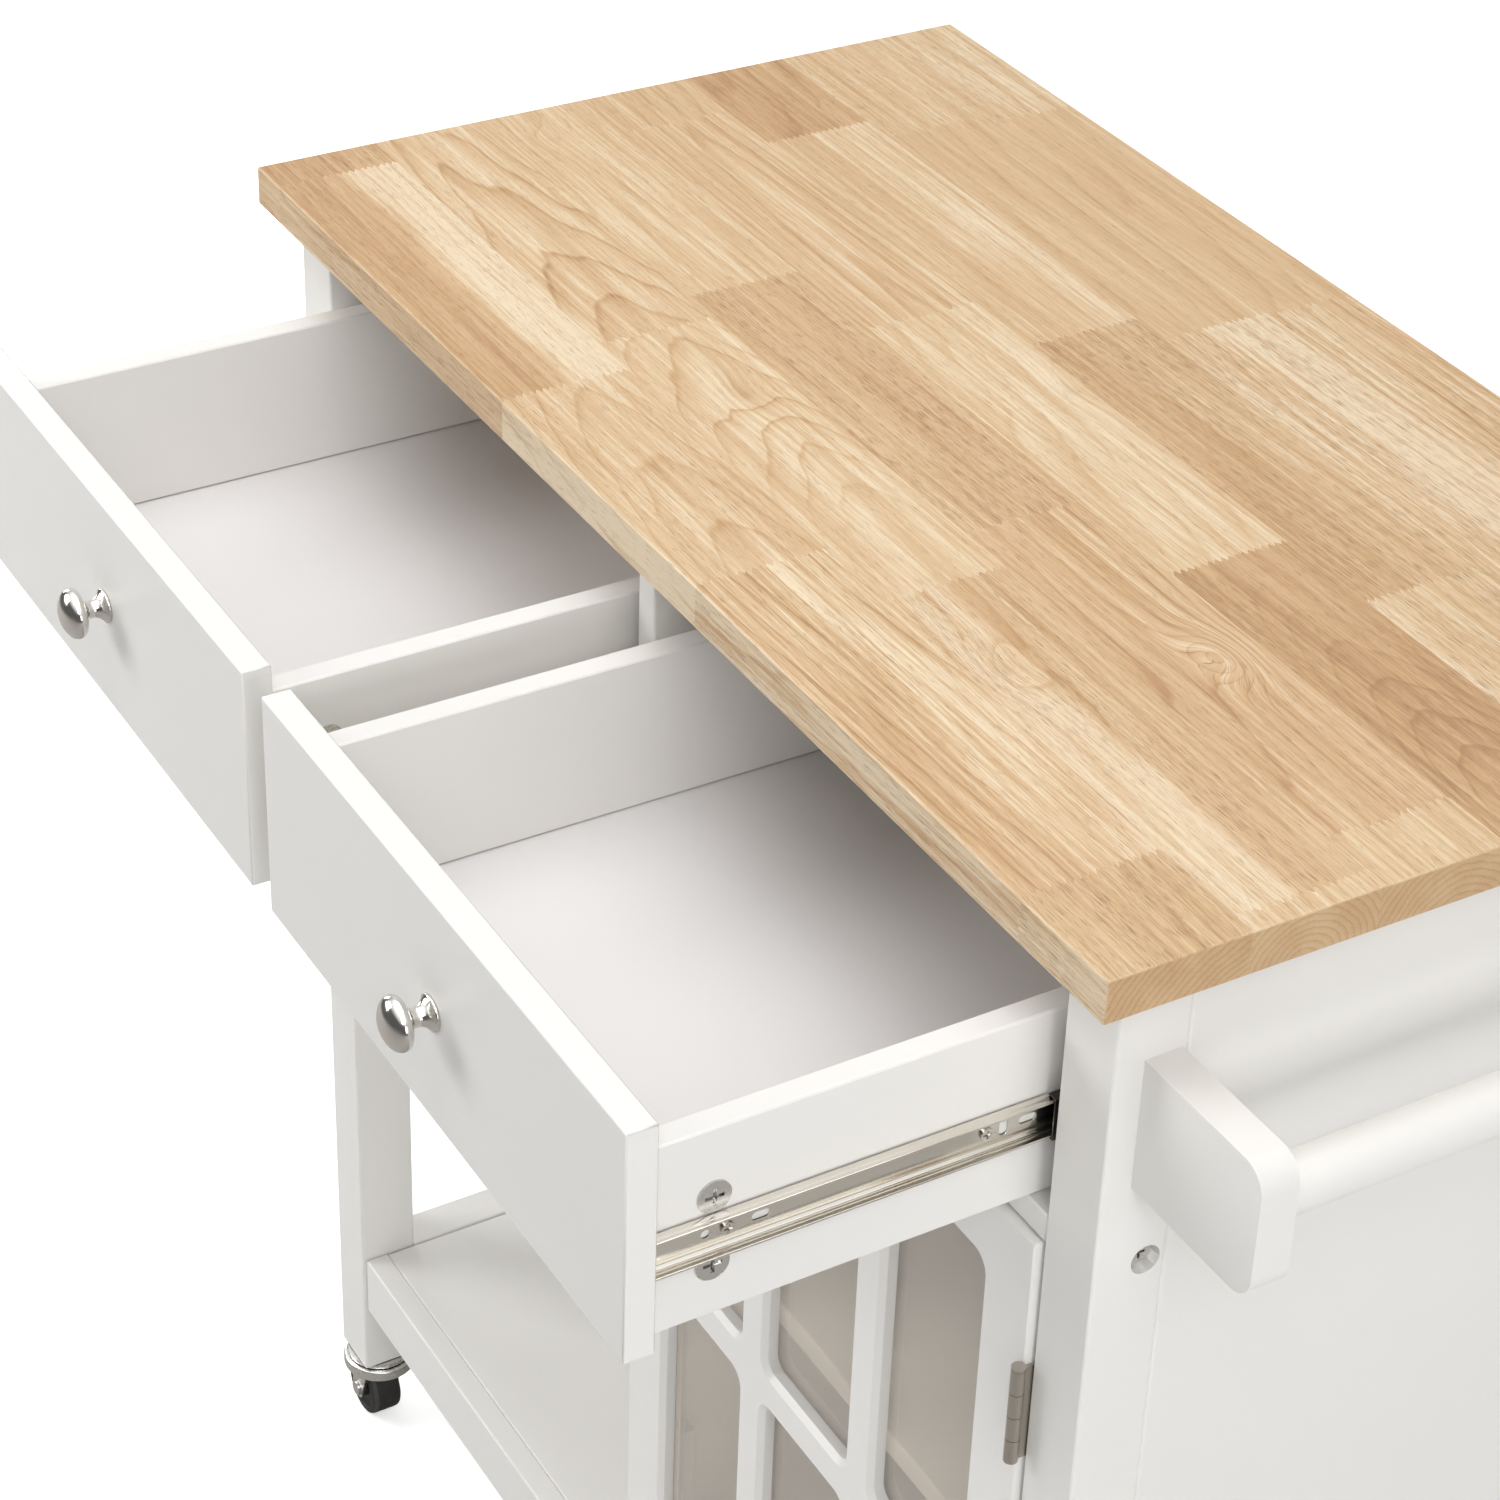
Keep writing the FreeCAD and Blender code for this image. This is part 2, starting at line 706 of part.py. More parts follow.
def knob_shape(x, y, z):
    foot = knob_foot_round / 2
    waist = knob_waist_round / 2
    head = knob_head_round / 2
    under = head - (knob_head_wide_out - knob_head_under_out) / 2
    start = Vector(foot, -knob_foot_rim, 0)
    neck = Vector(waist, -knob_waist_out, 0)
    brim = Vector(under, -knob_head_under_out, 0)
    wide = Vector(head, -knob_head_wide_out, 0)
    shoulder = Vector(knob_shoulder_round / 2, knob_dome_rise - knob_out, 0)
    crown = Vector(0, -knob_out, 0)
    foot_mid = between(start, neck, knob_flare_shares)
    neck_mid = between(neck, brim, knob_neck_shares)
    brim_mid = between(brim, wide, knob_brim_shares)
    shoulder_mid = between(wide, shoulder, knob_shoulder_shares)
    dome_angle = math.atan(knob_dome_rise / shoulder.x)
    dome = shoulder.x / math.sin(2 * dome_angle)
    dome_mid = Vector(dome * math.sin(dome_angle), dome * (1 - math.cos(dome_angle)) - knob_out, 0)
    edges = [
        Part.makeLine(Vector(0, 0, 0), Vector(foot, 0, 0)),
        Part.makeLine(Vector(foot, 0, 0), start),
        Part.Arc(start, foot_mid, neck).toShape(),
        Part.Arc(neck, neck_mid, brim).toShape(),
        Part.Arc(brim, brim_mid, wide).toShape(),
        Part.Arc(wide, shoulder_mid, shoulder).toShape(),
        Part.Arc(shoulder, dome_mid, crown).toShape(),
        Part.makeLine(crown, Vector(0, 0, 0)),
    ]
    shape = Part.Face(Part.Wire(edges)).revolve(Vector(0, 0, 0), axis_y, 360)
    shape.translate(Vector(x, y, z))
    return shape.Solids[0] if shape.Solids else Part.makeSolid(shape)


def knob_screw(x, y, z, thick):
    head = rod(knob_screw_head, knob_screw_head_thick, x, y, z, axis_y)
    shank = rod(knob_screw_round, thick + knob_screw_deep, x, y - thick - knob_screw_deep, z, axis_y)
    return head.fuse(shank).removeSplitter()


def rounded_opening(x0, z0, x1, z1, y0, y1, radius):
    shape = block(x0, y0, z0, x1, y1, z1)
    uprights = [edge for edge in shape.Edges if abs(edge.tangentAt(edge.FirstParameter).y) > 0.5]
    return shape.makeFillet(radius, uprights)


def door_openings():
    pane_wide = (door_wide - 2 * door_stile - 2 * door_bar) / 3
    places = []
    for row in (0, 1):
        z1 = door_top - door_top_rail - row * (door_row_tall + door_bar)
        for column in (0, 1, 2):
            x0 = door_left + door_stile + column * (pane_wide + door_bar)
            places.append((x0, z1 - door_row_tall, x0 + pane_wide, z1))
    return places


def glass_box():
    places = door_openings()
    x0 = min(place[0] for place in places) - door_rebate
    z0 = min(place[1] for place in places) - door_rebate
    x1 = max(place[2] for place in places) + door_rebate
    z1 = max(place[3] for place in places) + door_rebate
    return x0, z0, x1, z1


def door_frame():
    frame = plank(door_left, face_y, door_foot, door_right, face_back, door_top)
    for x0, z0, x1, z1 in door_openings():
        opening = rounded_opening(x0, z0, x1, z1, face_y - cut_overrun, face_back + cut_overrun, door_round)
        frame = frame.cut(opening)
        flare = rounded_opening(x0 - door_ease, z0 - door_ease, x1 + door_ease, z1 + door_ease,
                                face_y - cut_overrun, face_y + door_ease, door_round + door_ease)
        frame = frame.cut(flare.common(flare_wedge(x0, z0, x1, z1)))
    x0, z0, x1, z1 = glass_box()
    return frame.cut(block(x0, face_y + door_lip, z0, x1, face_back + cut_overrun, z1))


def flare_wedge(x0, z0, x1, z1):
    ease = door_ease
    near = pane_wire(x0 - ease, z0 - ease, x1 + ease, z1 + ease, face_y, door_round + ease)
    far = pane_wire(x0, z0, x1, z1, face_y + ease, door_round)
    return Part.makeLoft([near, far], True, True)


def pane_wire(x0, z0, x1, z1, y, r):
    bend = r * corner_share
    corners = [
        ((x1 - r, z0), (x1 - bend, z0 + bend), (x1, z0 + r)),
        ((x1, z1 - r), (x1 - bend, z1 - bend), (x1 - r, z1)),
        ((x0 + r, z1), (x0 + bend, z1 - bend), (x0, z1 - r)),
        ((x0, z0 + r), (x0 + bend, z0 + bend), (x0 + r, z0)),
    ]
    edges = []
    last = Vector(corners[-1][-1][0], y, corners[-1][-1][1])
    for places in corners:
        start, middle, end = [Vector(px, y, pz) for px, pz in places]
        edges.append(Part.makeLine(last, start))
        edges.append(Part.Arc(start, middle, end).toShape())
        last = end
    return Part.Wire(edges)


def door():
    x0, z0, x1, z1 = glass_box()
    glass_y = face_y + door_lip
    bead_y = glass_y + glass_thick
    glass = block(x0, glass_y, z0, x1, bead_y, z1)
    beads = [
        block(x0, bead_y, z0, x0 + bead_wide, face_back, z1),
        block(x1 - bead_wide, bead_y, z0, x1, face_back, z1),
        block(x0 + bead_wide, bead_y, z0, x1 - bead_wide, face_back, z0 + bead_wide),
        block(x0 + bead_wide, bead_y, z1 - bead_wide, x1 - bead_wide, face_back, z1),
    ]
    knob_x = door_left + door_stile / 2
    knob_z = door_top - door_knob_drop
    screw = knob_screw(knob_x, face_back - knob_screw_head_thick, knob_z, board - knob_screw_head_thick)
    strike_x = door_left + door_lap + catch_wide / 2
    strike_z = catch_z
    strike = block(strike_x - strike_wide / 2, face_back, strike_z - strike_tall / 2,
                   strike_x + strike_wide / 2, face_back + strike_thick, strike_z + strike_tall / 2)
    leaves = [hinge_leaf(z, -1) for z in hinge_feet()]
    screws = [screw_one for z in hinge_feet() for screw_one in hinge_screws(z, -1)]
    return {
        "door_frame": [cut_all(door_frame(), [screw] + screws)],
        "door_glass": [glass],
        "door_glass_beads": beads,
        "door_knob": [knob_shape(knob_x, face_y, knob_z).cut(screw), screw],
        "door_strike_plate": [strike],
        "door_hinge_leaves": [cut_all(leaf, screws) for leaf in leaves] + screws,
    }


def hinge_feet():
    return (door_top - hinge_set - hinge_tall, door_foot + hinge_set)


def hinge_leaf(foot, way):
    pitch = hinge_tall / hinge_knuckles
    half = hinge_knuckle_gap / 2
    wall = hinge_x + way * door_edge_gap / 2
    x0 = min(wall, wall - way * hinge_leaf_thick)
    radius = hinge_knuckle_round / 2
    root_y = hinge_y + radius * hinge_root_share
    back_y = hinge_y + radius + hinge_leaf_deep
    leaf = block(x0, root_y, foot, x0 + hinge_leaf_thick, back_y, foot + hinge_tall)
    for index in range(hinge_knuckles):
        z = foot + index * pitch
        mine = (index % 2 == 0) == (way < 0)
        if mine:
            leaf = leaf.fuse(rod(hinge_knuckle_round, pitch - 2 * half, hinge_x, hinge_y, z + half, axis_z))
        else:
            ream = rod(hinge_knuckle_round + 2 * hinge_knuckle_gap, pitch, hinge_x, hinge_y, z, axis_z)
            leaf = leaf.cut(ream)
    bore = hinge_pin_round + (2 * hinge_pin_run if way < 0 else 0)
    return leaf.cut(rod(bore, hinge_tall, hinge_x, hinge_y, foot, axis_z)).removeSplitter()


def hinge_screws(foot, way):
    wall = hinge_x + way * door_edge_gap / 2
    face_x = wall - way * hinge_leaf_thick
    y = hinge_y + hinge_knuckle_round / 2 + hinge_leaf_deep / 2
    made = []
    for share in (hinge_screw_share, 1 - hinge_screw_share):
        z = foot + hinge_tall * share
        into = Vector(way, 0, 0)
        seat_x = face_x + way * hinge_screw_head_deep
        head = Part.makeCone(hinge_screw_head / 2, hinge_screw_round / 2, hinge_screw_head_deep,
                             Vector(face_x, y, z), into)
        shank = rod(hinge_screw_round, hinge_screw_long, seat_x, y, z, into)
        made.append(head.fuse(shank).removeSplitter())
    return made


def hinge_fixed():
    leaves = []
    pins = []
    screws = [screw for z in hinge_feet() for screw in hinge_screws(z, 1)]
    for z in hinge_feet():
        leaves.append(cut_all(hinge_leaf(z, 1), screws))
        pin = rod(hinge_pin_round, hinge_tall + hinge_pin_tip, hinge_x, hinge_y, z, axis_z)
        tip = rod(hinge_knuckle_round, hinge_pin_tip, hinge_x, hinge_y, z + hinge_tall, axis_z)
        pins.append(pin.fuse(tip).removeSplitter())
    return leaves + pins, screws


def catch():
    z = catch_z
    face = face_back + strike_thick + catch_magnet_out
    x0 = stile_right
    body_y = face + catch_magnet_out
    body = block(x0, body_y, z - catch_tall / 2, x0 + catch_wide, body_y + catch_deep, z + catch_tall / 2)
    inset = catch_magnet_inset
    magnet = block(x0 + inset, face, z - catch_tall / 2 + inset, x0 + catch_wide - inset,
                   body_y + catch_deep / 2, z + catch_tall / 2 - inset)
    return {"magnet_catch": [eased(body, catch_magnet_out).cut(magnet), magnet]}


def caster_cheek(x, y, z, wheel_x):
    foot = caster_cheek_foot
    axle_z = wheel_round / 2
    outline = [
        Vector(x + caster_cheek_fore, y, z), Vector(x - caster_cheek_back, y, z),
        Vector(wheel_x - foot, y, axle_z), Vector(wheel_x + foot, y, axle_z),
    ]
    plate = Part.Face(Part.makePolygon(outline + [outline[0]])).extrude(Vector(0, caster_cheek_thick, 0))
    return plate.fuse(rod(2 * foot, caster_cheek_thick, wheel_x, y, axle_z, axis_y)).removeSplitter()


def caster_crown(x, y, neck_z):
    foot_z = neck_z - caster_rim_tall
    dish = rod(caster_crown_round, caster_rim_tall + caster_crown_thick, x, y, foot_z, axis_z)
    brow = [edge for edge in dish.Edges if edge.Closed and edge.BoundBox.ZMin > neck_z]
    hollow = rod(caster_crown_round - 2 * caster_rim_thick, caster_rim_tall, x, y, foot_z, axis_z)
    return dish.makeFillet(caster_crown_ease, brow).cut(hollow)


def caster(x, y):
    plate_z = leg_foot - caster_plate_thick
    stem = rod(caster_stem_round, caster_stem_long, x, y, leg_foot, axis_z)
    neck_z = plate_z - caster_race_gap - caster_crown_thick
    plate = rod(caster_plate_round, caster_plate_thick, x, y, plate_z, axis_z)
    rivet_z = neck_z - caster_race_gap - caster_rivet_thick
    pivot = rod(caster_neck_round, leg_foot - rivet_z, x, y, rivet_z, axis_z)
    rivet = rod(caster_rivet_round, caster_rivet_thick, x, y, rivet_z, axis_z)
    crown_bore = rod(caster_neck_round + 2 * caster_run, leg_foot - neck_z, x, y, neck_z, axis_z)
    wheel_x = x - caster_trail
    gap = wheel_wide / 2 + caster_cheek_gap
    axle_z = wheel_round / 2
    crown = caster_crown(x, y, neck_z).cut(crown_bore)
    near = caster_cheek(x, y - gap - caster_cheek_thick, neck_z, wheel_x)
    far = caster_cheek(x, y + gap, neck_z, wheel_x)
    fork = crown.fuse(near).fuse(far)
    axle_start = y - gap - caster_cheek_thick - axle_head_thick
    axle_long = 2 * (gap + caster_cheek_thick + axle_head_thick)
    axle = rod(axle_round, axle_long, wheel_x, axle_start, axle_z, axis_y)
    for head_y in (axle_start, axle_start + axle_long - axle_head_thick):
        axle = axle.fuse(rod(axle_head_round, axle_head_thick, wheel_x, head_y, axle_z, axis_y))
    fork = fork.cut(rod(axle_round, axle_long, wheel_x, axle_start, axle_z, axis_y)).removeSplitter()
    mount = stem.fuse(plate).fuse(pivot).fuse(rivet).removeSplitter()
    return mount, [fork, axle.removeSplitter()], [wheel(wheel_x, y, axle_z)]


def wheel(x, y, z):
    start = y - wheel_wide / 2
    tyre = rod(wheel_round, wheel_wide, x, start, z, axis_y)
    tyre = tyre.makeFillet(wheel_ease, [edge for edge in tyre.Edges if edge.Closed])
    deep = wheel_dish + cut_overrun
    for side_y, way in ((start, 1), (start + wheel_wide, -1)):
        inward = Vector(0, way, 0)
        from_y = side_y - way * cut_overrun
        dish = rod(wheel_dish_round, deep, x, from_y, z, inward)
        tyre = tyre.cut(dish.cut(rod(wheel_hub_round, deep, x, from_y, z, inward)))
    bore = rod(axle_round + 2 * caster_run, wheel_wide + 2 * cut_overrun, x, start - cut_overrun, z, axis_y)
    return tyre.cut(bore).removeSplitter()


def listed(nodes):
    return {name: shape if isinstance(shape, list) else [shape] for name, shape in nodes.items()}


def drilled(shapes, fixings):
    made = []
    for solid in solids_of(shapes):
        near = [screw for screw in fixings if screw.BoundBox.intersect(solid.BoundBox)]
        made.append(cut_all(solid, near))
    return made


def all_nodes():
    nodes = {"tabletop": [tabletop()], "frame_bolts": all_bolts(bolt)}
    for group in (legs(), rails(), panels(), towel_rail(), door(), catch()):
        nodes.update(listed(group))
    members, slide_fixings = cabinet_slides()
    leaves, hinge_fixings = hinge_fixed()
    bracket_fixings = [bracket_screw(y, z, 0) for y, z in bracket_screw_places()]
    nodes["slide_cabinet_members"] = members
    nodes["hinge_post_leaves"] = leaves
    nodes["frame_screws"] = slide_fixings + hinge_fixings + bracket_fixings
    for node in list(nodes):
        if node.endswith("_leg") or node in ("slide_battens", "divider_panel", "drawer_stile"):
            nodes[node] = drilled(nodes[node], slide_fixings + hinge_fixings)
    for name, low_x, high_x, packed_x in bays():
        nodes.update(drawer(name, low_x, high_x, packed_x))
        nodes[name + "_slide_cages"] = [slide_cages(packed_x, high_x)]
    nodes["caster_mounts"] = []
    for name, x, y in caster_centers():
        mount, fork, tyre = caster(x, y)
        nodes["caster_mounts"].append(mount)
        nodes[name + "_caster_fork"] = fork
        nodes[name + "_caster_wheel"] = tyre
    return nodes


for node, shapes in all_nodes().items():
    save(node, shapes)
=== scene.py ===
import json
import math
import bmesh
import bpy
from mathutils import Matrix, Vector


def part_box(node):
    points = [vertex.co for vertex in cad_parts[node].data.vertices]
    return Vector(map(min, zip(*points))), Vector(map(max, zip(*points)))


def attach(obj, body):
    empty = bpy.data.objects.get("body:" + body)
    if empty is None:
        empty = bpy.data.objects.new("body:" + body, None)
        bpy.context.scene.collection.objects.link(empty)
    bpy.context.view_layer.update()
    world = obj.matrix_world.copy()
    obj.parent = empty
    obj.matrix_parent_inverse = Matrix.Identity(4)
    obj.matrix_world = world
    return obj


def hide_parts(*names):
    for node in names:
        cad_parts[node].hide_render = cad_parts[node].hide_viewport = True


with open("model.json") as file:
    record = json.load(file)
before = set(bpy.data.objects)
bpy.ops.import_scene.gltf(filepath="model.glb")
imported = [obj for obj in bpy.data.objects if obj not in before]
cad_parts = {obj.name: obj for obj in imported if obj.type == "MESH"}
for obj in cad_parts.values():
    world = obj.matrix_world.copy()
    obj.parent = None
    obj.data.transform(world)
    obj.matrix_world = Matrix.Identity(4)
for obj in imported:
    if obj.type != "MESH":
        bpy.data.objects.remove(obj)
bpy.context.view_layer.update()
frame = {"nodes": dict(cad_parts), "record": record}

nodes = frame["nodes"]
bodyOf = {node: body for body, members in frame["record"]["behaviour"]["bodies"].items() for node in members}
scene = bpy.context.scene


# Node helpers: each adds one shader node and hands back its output

def fillInputs(tree, node, inputs):
    for key, value in inputs.items():
        if isinstance(value, bpy.types.NodeSocket):
            tree.links.new(value, node.inputs[key])
        else:
            node.inputs[key].default_value = value


def addNode(tree, kind, inputs=None, out=0, **settings):
    node = tree.nodes.new("ShaderNode" + kind)
    for key, value in settings.items():
        setattr(node, key, value)
    fillInputs(tree, node, inputs or {})
    return node.outputs[out]


def calc(tree, operation, a, b=0.0, clamp=False):
    return addNode(tree, "Math", {0: a, 1: b}, operation=operation, use_clamp=clamp)


def plus(tree, a, b):
    return calc(tree, "ADD", a, b)


def minus(tree, a, b):
    return calc(tree, "SUBTRACT", a, b)


def times(tree, a, b):
    return calc(tree, "MULTIPLY", a, b)


def stretched(tree, vector, scale):
    return addNode(tree, "VectorMath", {0: vector, 1: scale}, operation="MULTIPLY")


def moved(tree, vector, step):
    return addNode(tree, "VectorMath", {0: vector, 1: step}, operation="ADD")


def scaled(tree, vector, amount):
    return addNode(tree, "VectorMath", {0: vector, 3: amount}, operation="SCALE")


def split(tree, vector):
    return addNode(tree, "SeparateXYZ", {0: vector}).node.outputs


def ranged(tree, value, low, high, newLow=0.0, newHigh=1.0, how="LINEAR"):
    # a range in a dictionary gives two limits, then what these become, which is 0 and 1 if left out
    inputs = {0: value, 1: low, 2: high, 3: newLow, 4: newHigh}
    return addNode(tree, "MapRange", inputs, interpolation_type=how)


def noise(tree, vector, scale, detail=2.0, rough=0.5, warp=0.0):
    inputs = {"Vector": vector, "Scale": scale, "Detail": detail, "Roughness": rough, "Distortion": warp}
    return addNode(tree, "TexNoise", inputs)


def layered(tree, vector, layer):
    # one drawn-out noise from a dictionary; "range" keeps a part of it
    pattern = noise(tree, stretched(tree, vector, layer["stretch"]), 1.0, layer["detail"],
                    layer.get("rough", 0.5), layer.get("warp", 0.0))
    return ranged(tree, pattern, *layer["range"]) if "range" in layer else pattern


def mixed(tree, factor, a, b):
    return addNode(tree, "Mix", {0: factor, 6: a, 7: b}, out=2, data_type="RGBA")


def newGroup(name, ins, outs):
    group = bpy.data.node_groups.new(name, "ShaderNodeTree")
    for label, kind, value in ins:
        socket = group.interface.new_socket(name=label, in_out="INPUT", socket_type="NodeSocket" + kind)
        if value is not None:
            socket.default_value = value
    for label, kind in outs:
        group.interface.new_socket(name=label, in_out="OUTPUT", socket_type="NodeSocket" + kind)
    start = group.nodes.new("NodeGroupInput").outputs
    end = group.nodes.new("NodeGroupOutput").inputs
    return group, start, end


def useGroup(tree, group, inputs):
    node = tree.nodes.new("ShaderNodeGroup")
    node.node_tree = group
    fillInputs(tree, node, inputs)
    return node.outputs


def place(tree):
    return addNode(tree, "TexCoord", out="Object")              # in metres


def opaque(tint):
    return (*tint, 1.0)


def newMaterial(name, settings):
    material = bpy.data.materials.new(name)
    material.use_nodes = True
    tree = material.node_tree
    shader = tree.nodes["Principled BSDF"]
    fillInputs(tree, shader, settings)
    return material, tree, shader


def feed(tree, shader, color, roughness, height=None, depth=0.0, strength=1.0):
    tree.links.new(color, shader.inputs["Base Color"])
    tree.links.new(roughness, shader.inputs["Roughness"])
    if height is not None:
        bump = addNode(tree, "Bump", {"Strength": strength, "Distance": depth, "Height": height})
        tree.links.new(bump, shader.inputs["Normal"])


# Effects that several materials share, each a node group built once

cloudLook = {"detail": 3.0, "rough": 0.55}


def buildCloud():
    # broad soft unevenness of tone, as light and handling leave on any finish
    group, start, end = newGroup("softCloud", [("Position", "Vector", None), ("Color", "Color", None),
                                               ("Amount", "Float", 0.03), ("Scale", "Float", 4.0)],
                                 [("Color", "Color")])
    tone = noise(group, start["Position"], start["Scale"], cloudLook["detail"], cloudLook["rough"])
    swing = times(group, minus(group, tone, 0.5), times(group, start["Amount"], 2.0))
    group.links.new(scaled(group, start["Color"], plus(group, swing, 1.0)), end["Color"])
    return group


edgeHighlightLook = {"breaks": 60.0, "detail": 3.0, "range": (0.35, 0.65)}


def buildEdgeHighlightAndWear():
    # the rounded arrises, marked in the mesh, take a second tone: a painted highlight where they catch the
    # light, broken into patches like the wear of hands and cloths
    group, start, end = newGroup("edgeHighlightAndWear", [("Position", "Vector", None), ("Color", "Color", None),
                                               ("Edge Color", "Color", None), ("Amount", "Float", 0.5)],
                                 [("Color", "Color"), ("Edge", "Float")])
    mark = addNode(group, "Attribute", out="Fac", attribute_name="edgeMark")
    patches = noise(group, start["Position"], edgeHighlightLook["breaks"], edgeHighlightLook["detail"])
    edge = times(group, mark, ranged(group, patches, *edgeHighlightLook["range"]))
    group.links.new(edge, end["Edge"])
    factor = times(group, edge, start["Amount"])
    group.links.new(mixed(group, factor, start["Color"], start["Edge Color"]), end["Color"])
    return group


peelLook = {"coarse": 0.7, "fine": 0.3, "finer": 3.1, "patches": 9.0, "patchDetail": 4.0}


def buildPeel():
    # the fine skin that sprayed or moulded surfaces have
    group, start, end = newGroup("finePeel", [("Position", "Vector", None), ("Scale", "Float", 700.0),
                                              ("Gloss", "Float", 0.35), ("Gloss Swing", "Float", 0.03)],
                                 [("Height", "Float"), ("Roughness", "Float")])
    coarse = noise(group, start["Position"], start["Scale"], 1.0)
    fine = noise(group, start["Position"], times(group, start["Scale"], peelLook["finer"]), 1.0)
    height = plus(group, times(group, coarse, peelLook["coarse"]), times(group, fine, peelLook["fine"]))
    group.links.new(height, end["Height"])
    patch = minus(group, noise(group, start["Position"], peelLook["patches"], peelLook["patchDetail"]), 0.5)
    group.links.new(plus(group, start["Gloss"], times(group, patch, start["Gloss Swing"])), end["Roughness"])
    return group


drawnLook = {"detail": 4.0, "rough": 0.65, "spotScale": 420.0, "spotRange": (0.62, 0.72), "spotRough": 0.4,
             "smoothest": 0.03}


def buildDrawnLines():
    # fine lines drawn along one direction of a metal, and faint spots between them
    group, start, end = newGroup("drawnLines", [("Position", "Vector", None),
                                                ("Stretch", "Vector", (1, 1, 1)), ("Rough", "Float", 0.25),
                                                ("Swing", "Float", 0.15), ("Spots", "Float", 0.1)],
                                 [("Height", "Float"), ("Roughness", "Float"), ("Dull", "Float")])
    along = stretched(group, start["Position"], start["Stretch"])
    lines = noise(group, along, 1.0, drawnLook["detail"], drawnLook["rough"])
    spots = ranged(group, noise(group, start["Position"], drawnLook["spotScale"]), *drawnLook["spotRange"])
    dull = times(group, spots, start["Spots"])
    swing = times(group, minus(group, lines, 0.5), start["Swing"])
    rough = plus(group, plus(group, start["Rough"], swing), times(group, dull, drawnLook["spotRough"]))
    group.links.new(lines, end["Height"])
    group.links.new(calc(group, "MAXIMUM", rough, drawnLook["smoothest"]), end["Roughness"])
    group.links.new(dull, end["Dull"])
    return group


# painted shade in slots, bores and under lips: its range, samples and dark tint
paintedShadeLook = {"range": (0.25, 0.8, 1.0, 0.0), "samples": 8, "tint": (0.035, 0.03, 0.026)}


def buildPaintedCornerShade():
    # painted shade: slots, bores and the parts under lips are darkened by how closed in they are
    group, start, end = newGroup("paintedCornerShade", [("Color", "Color", None),
                                                 ("Painted Shade Color", "Color", opaque(paintedShadeLook["tint"])),
                                                 ("Amount", "Float", 0.8), ("Reach", "Float", 0.002)],
                                 [("Color", "Color"), ("Painted Shade", "Float")])
    clear = addNode(group, "AmbientOcclusion", {"Distance": start["Reach"]}, out="AO",
                    samples=paintedShadeLook["samples"])
    paintedShade = times(group, ranged(group, clear, *paintedShadeLook["range"]), start["Amount"])
    group.links.new(paintedShade, end["Painted Shade"])
    group.links.new(mixed(group, paintedShade, start["Color"], start["Painted Shade Color"]), end["Color"])
    return group


woodTintLook = {
    "stops": ((0.0, (0.79, 0.655, 0.465)), (0.3, (0.655, 0.47, 0.28)), (0.65, (0.53, 0.335, 0.17)),
              (1.0, (0.37, 0.205, 0.095))),
    "ringTone": 0.62,
    "blush": (0.61, 0.375, 0.215),
    "blushFrom": 0.45,
    "blushGain": 0.7,
    "pore": (0.25, 0.125, 0.055),
    "poreDepth": 0.55,
    "gloss": 0.42,
    "poreGloss": 0.25,
    "streakRelief": 0.35,
    "ringRelief": 0.2,
}


def buildWoodTint():
    # turns ring, streak and pore masks into rubberwood's colours, one tone per glued block
    look = woodTintLook
    group, start, end = newGroup("rubberwoodTint", [("Tone", "Float", 0.5), ("Ring", "Float", 0.0),
                                                    ("Streak", "Float", 0.5), ("Pore", "Float", 0.0),
                                                    ("Blush", "Float", 0.5), ("Contrast", "Float", 0.88)],
                                 [("Color", "Color"), ("Roughness", "Float"), ("Height", "Float")])
    spread = times(group, minus(group, start["Streak"], 0.5), start["Contrast"])
    level = plus(group, start["Tone"], spread)
    level = calc(group, "ADD", level, times(group, start["Ring"], look["ringTone"]), clamp=True)
    ramp = group.nodes.new("ShaderNodeValToRGB")
    for at, tint in look["stops"][1:-1]:
        ramp.color_ramp.elements.new(at)
    for element, (at, tint) in zip(ramp.color_ramp.elements, look["stops"]):
        element.position = at
        element.color = opaque(tint)
    group.links.new(level, ramp.inputs[0])
    past = minus(group, start["Blush"], look["blushFrom"])
    blush = calc(group, "MULTIPLY", past, look["blushGain"], clamp=True)
    body = mixed(group, blush, ramp.outputs[0], opaque(look["blush"]))
    pores = times(group, start["Pore"], look["poreDepth"])
    group.links.new(mixed(group, pores, body, opaque(look["pore"])), end["Color"])
    rough = plus(group, look["gloss"], times(group, start["Pore"], look["poreGloss"]))
    group.links.new(rough, end["Roughness"])
    relief = minus(group, times(group, start["Streak"], look["streakRelief"]), start["Pore"])
    relief = minus(group, relief, times(group, start["Ring"], look["ringRelief"]))
    group.links.new(relief, end["Height"])
    return group


cloud = buildCloud()
edgeHighlightAndWear = buildEdgeHighlightAndWear()
finePeel = buildPeel()
drawnLines = buildDrawnLines()
paintedCornerShade = buildPaintedCornerShade()
woodTint = buildWoodTint()
print("shared effects built: cloud, edge touch, peel, drawn lines, corner grime, wood tint")
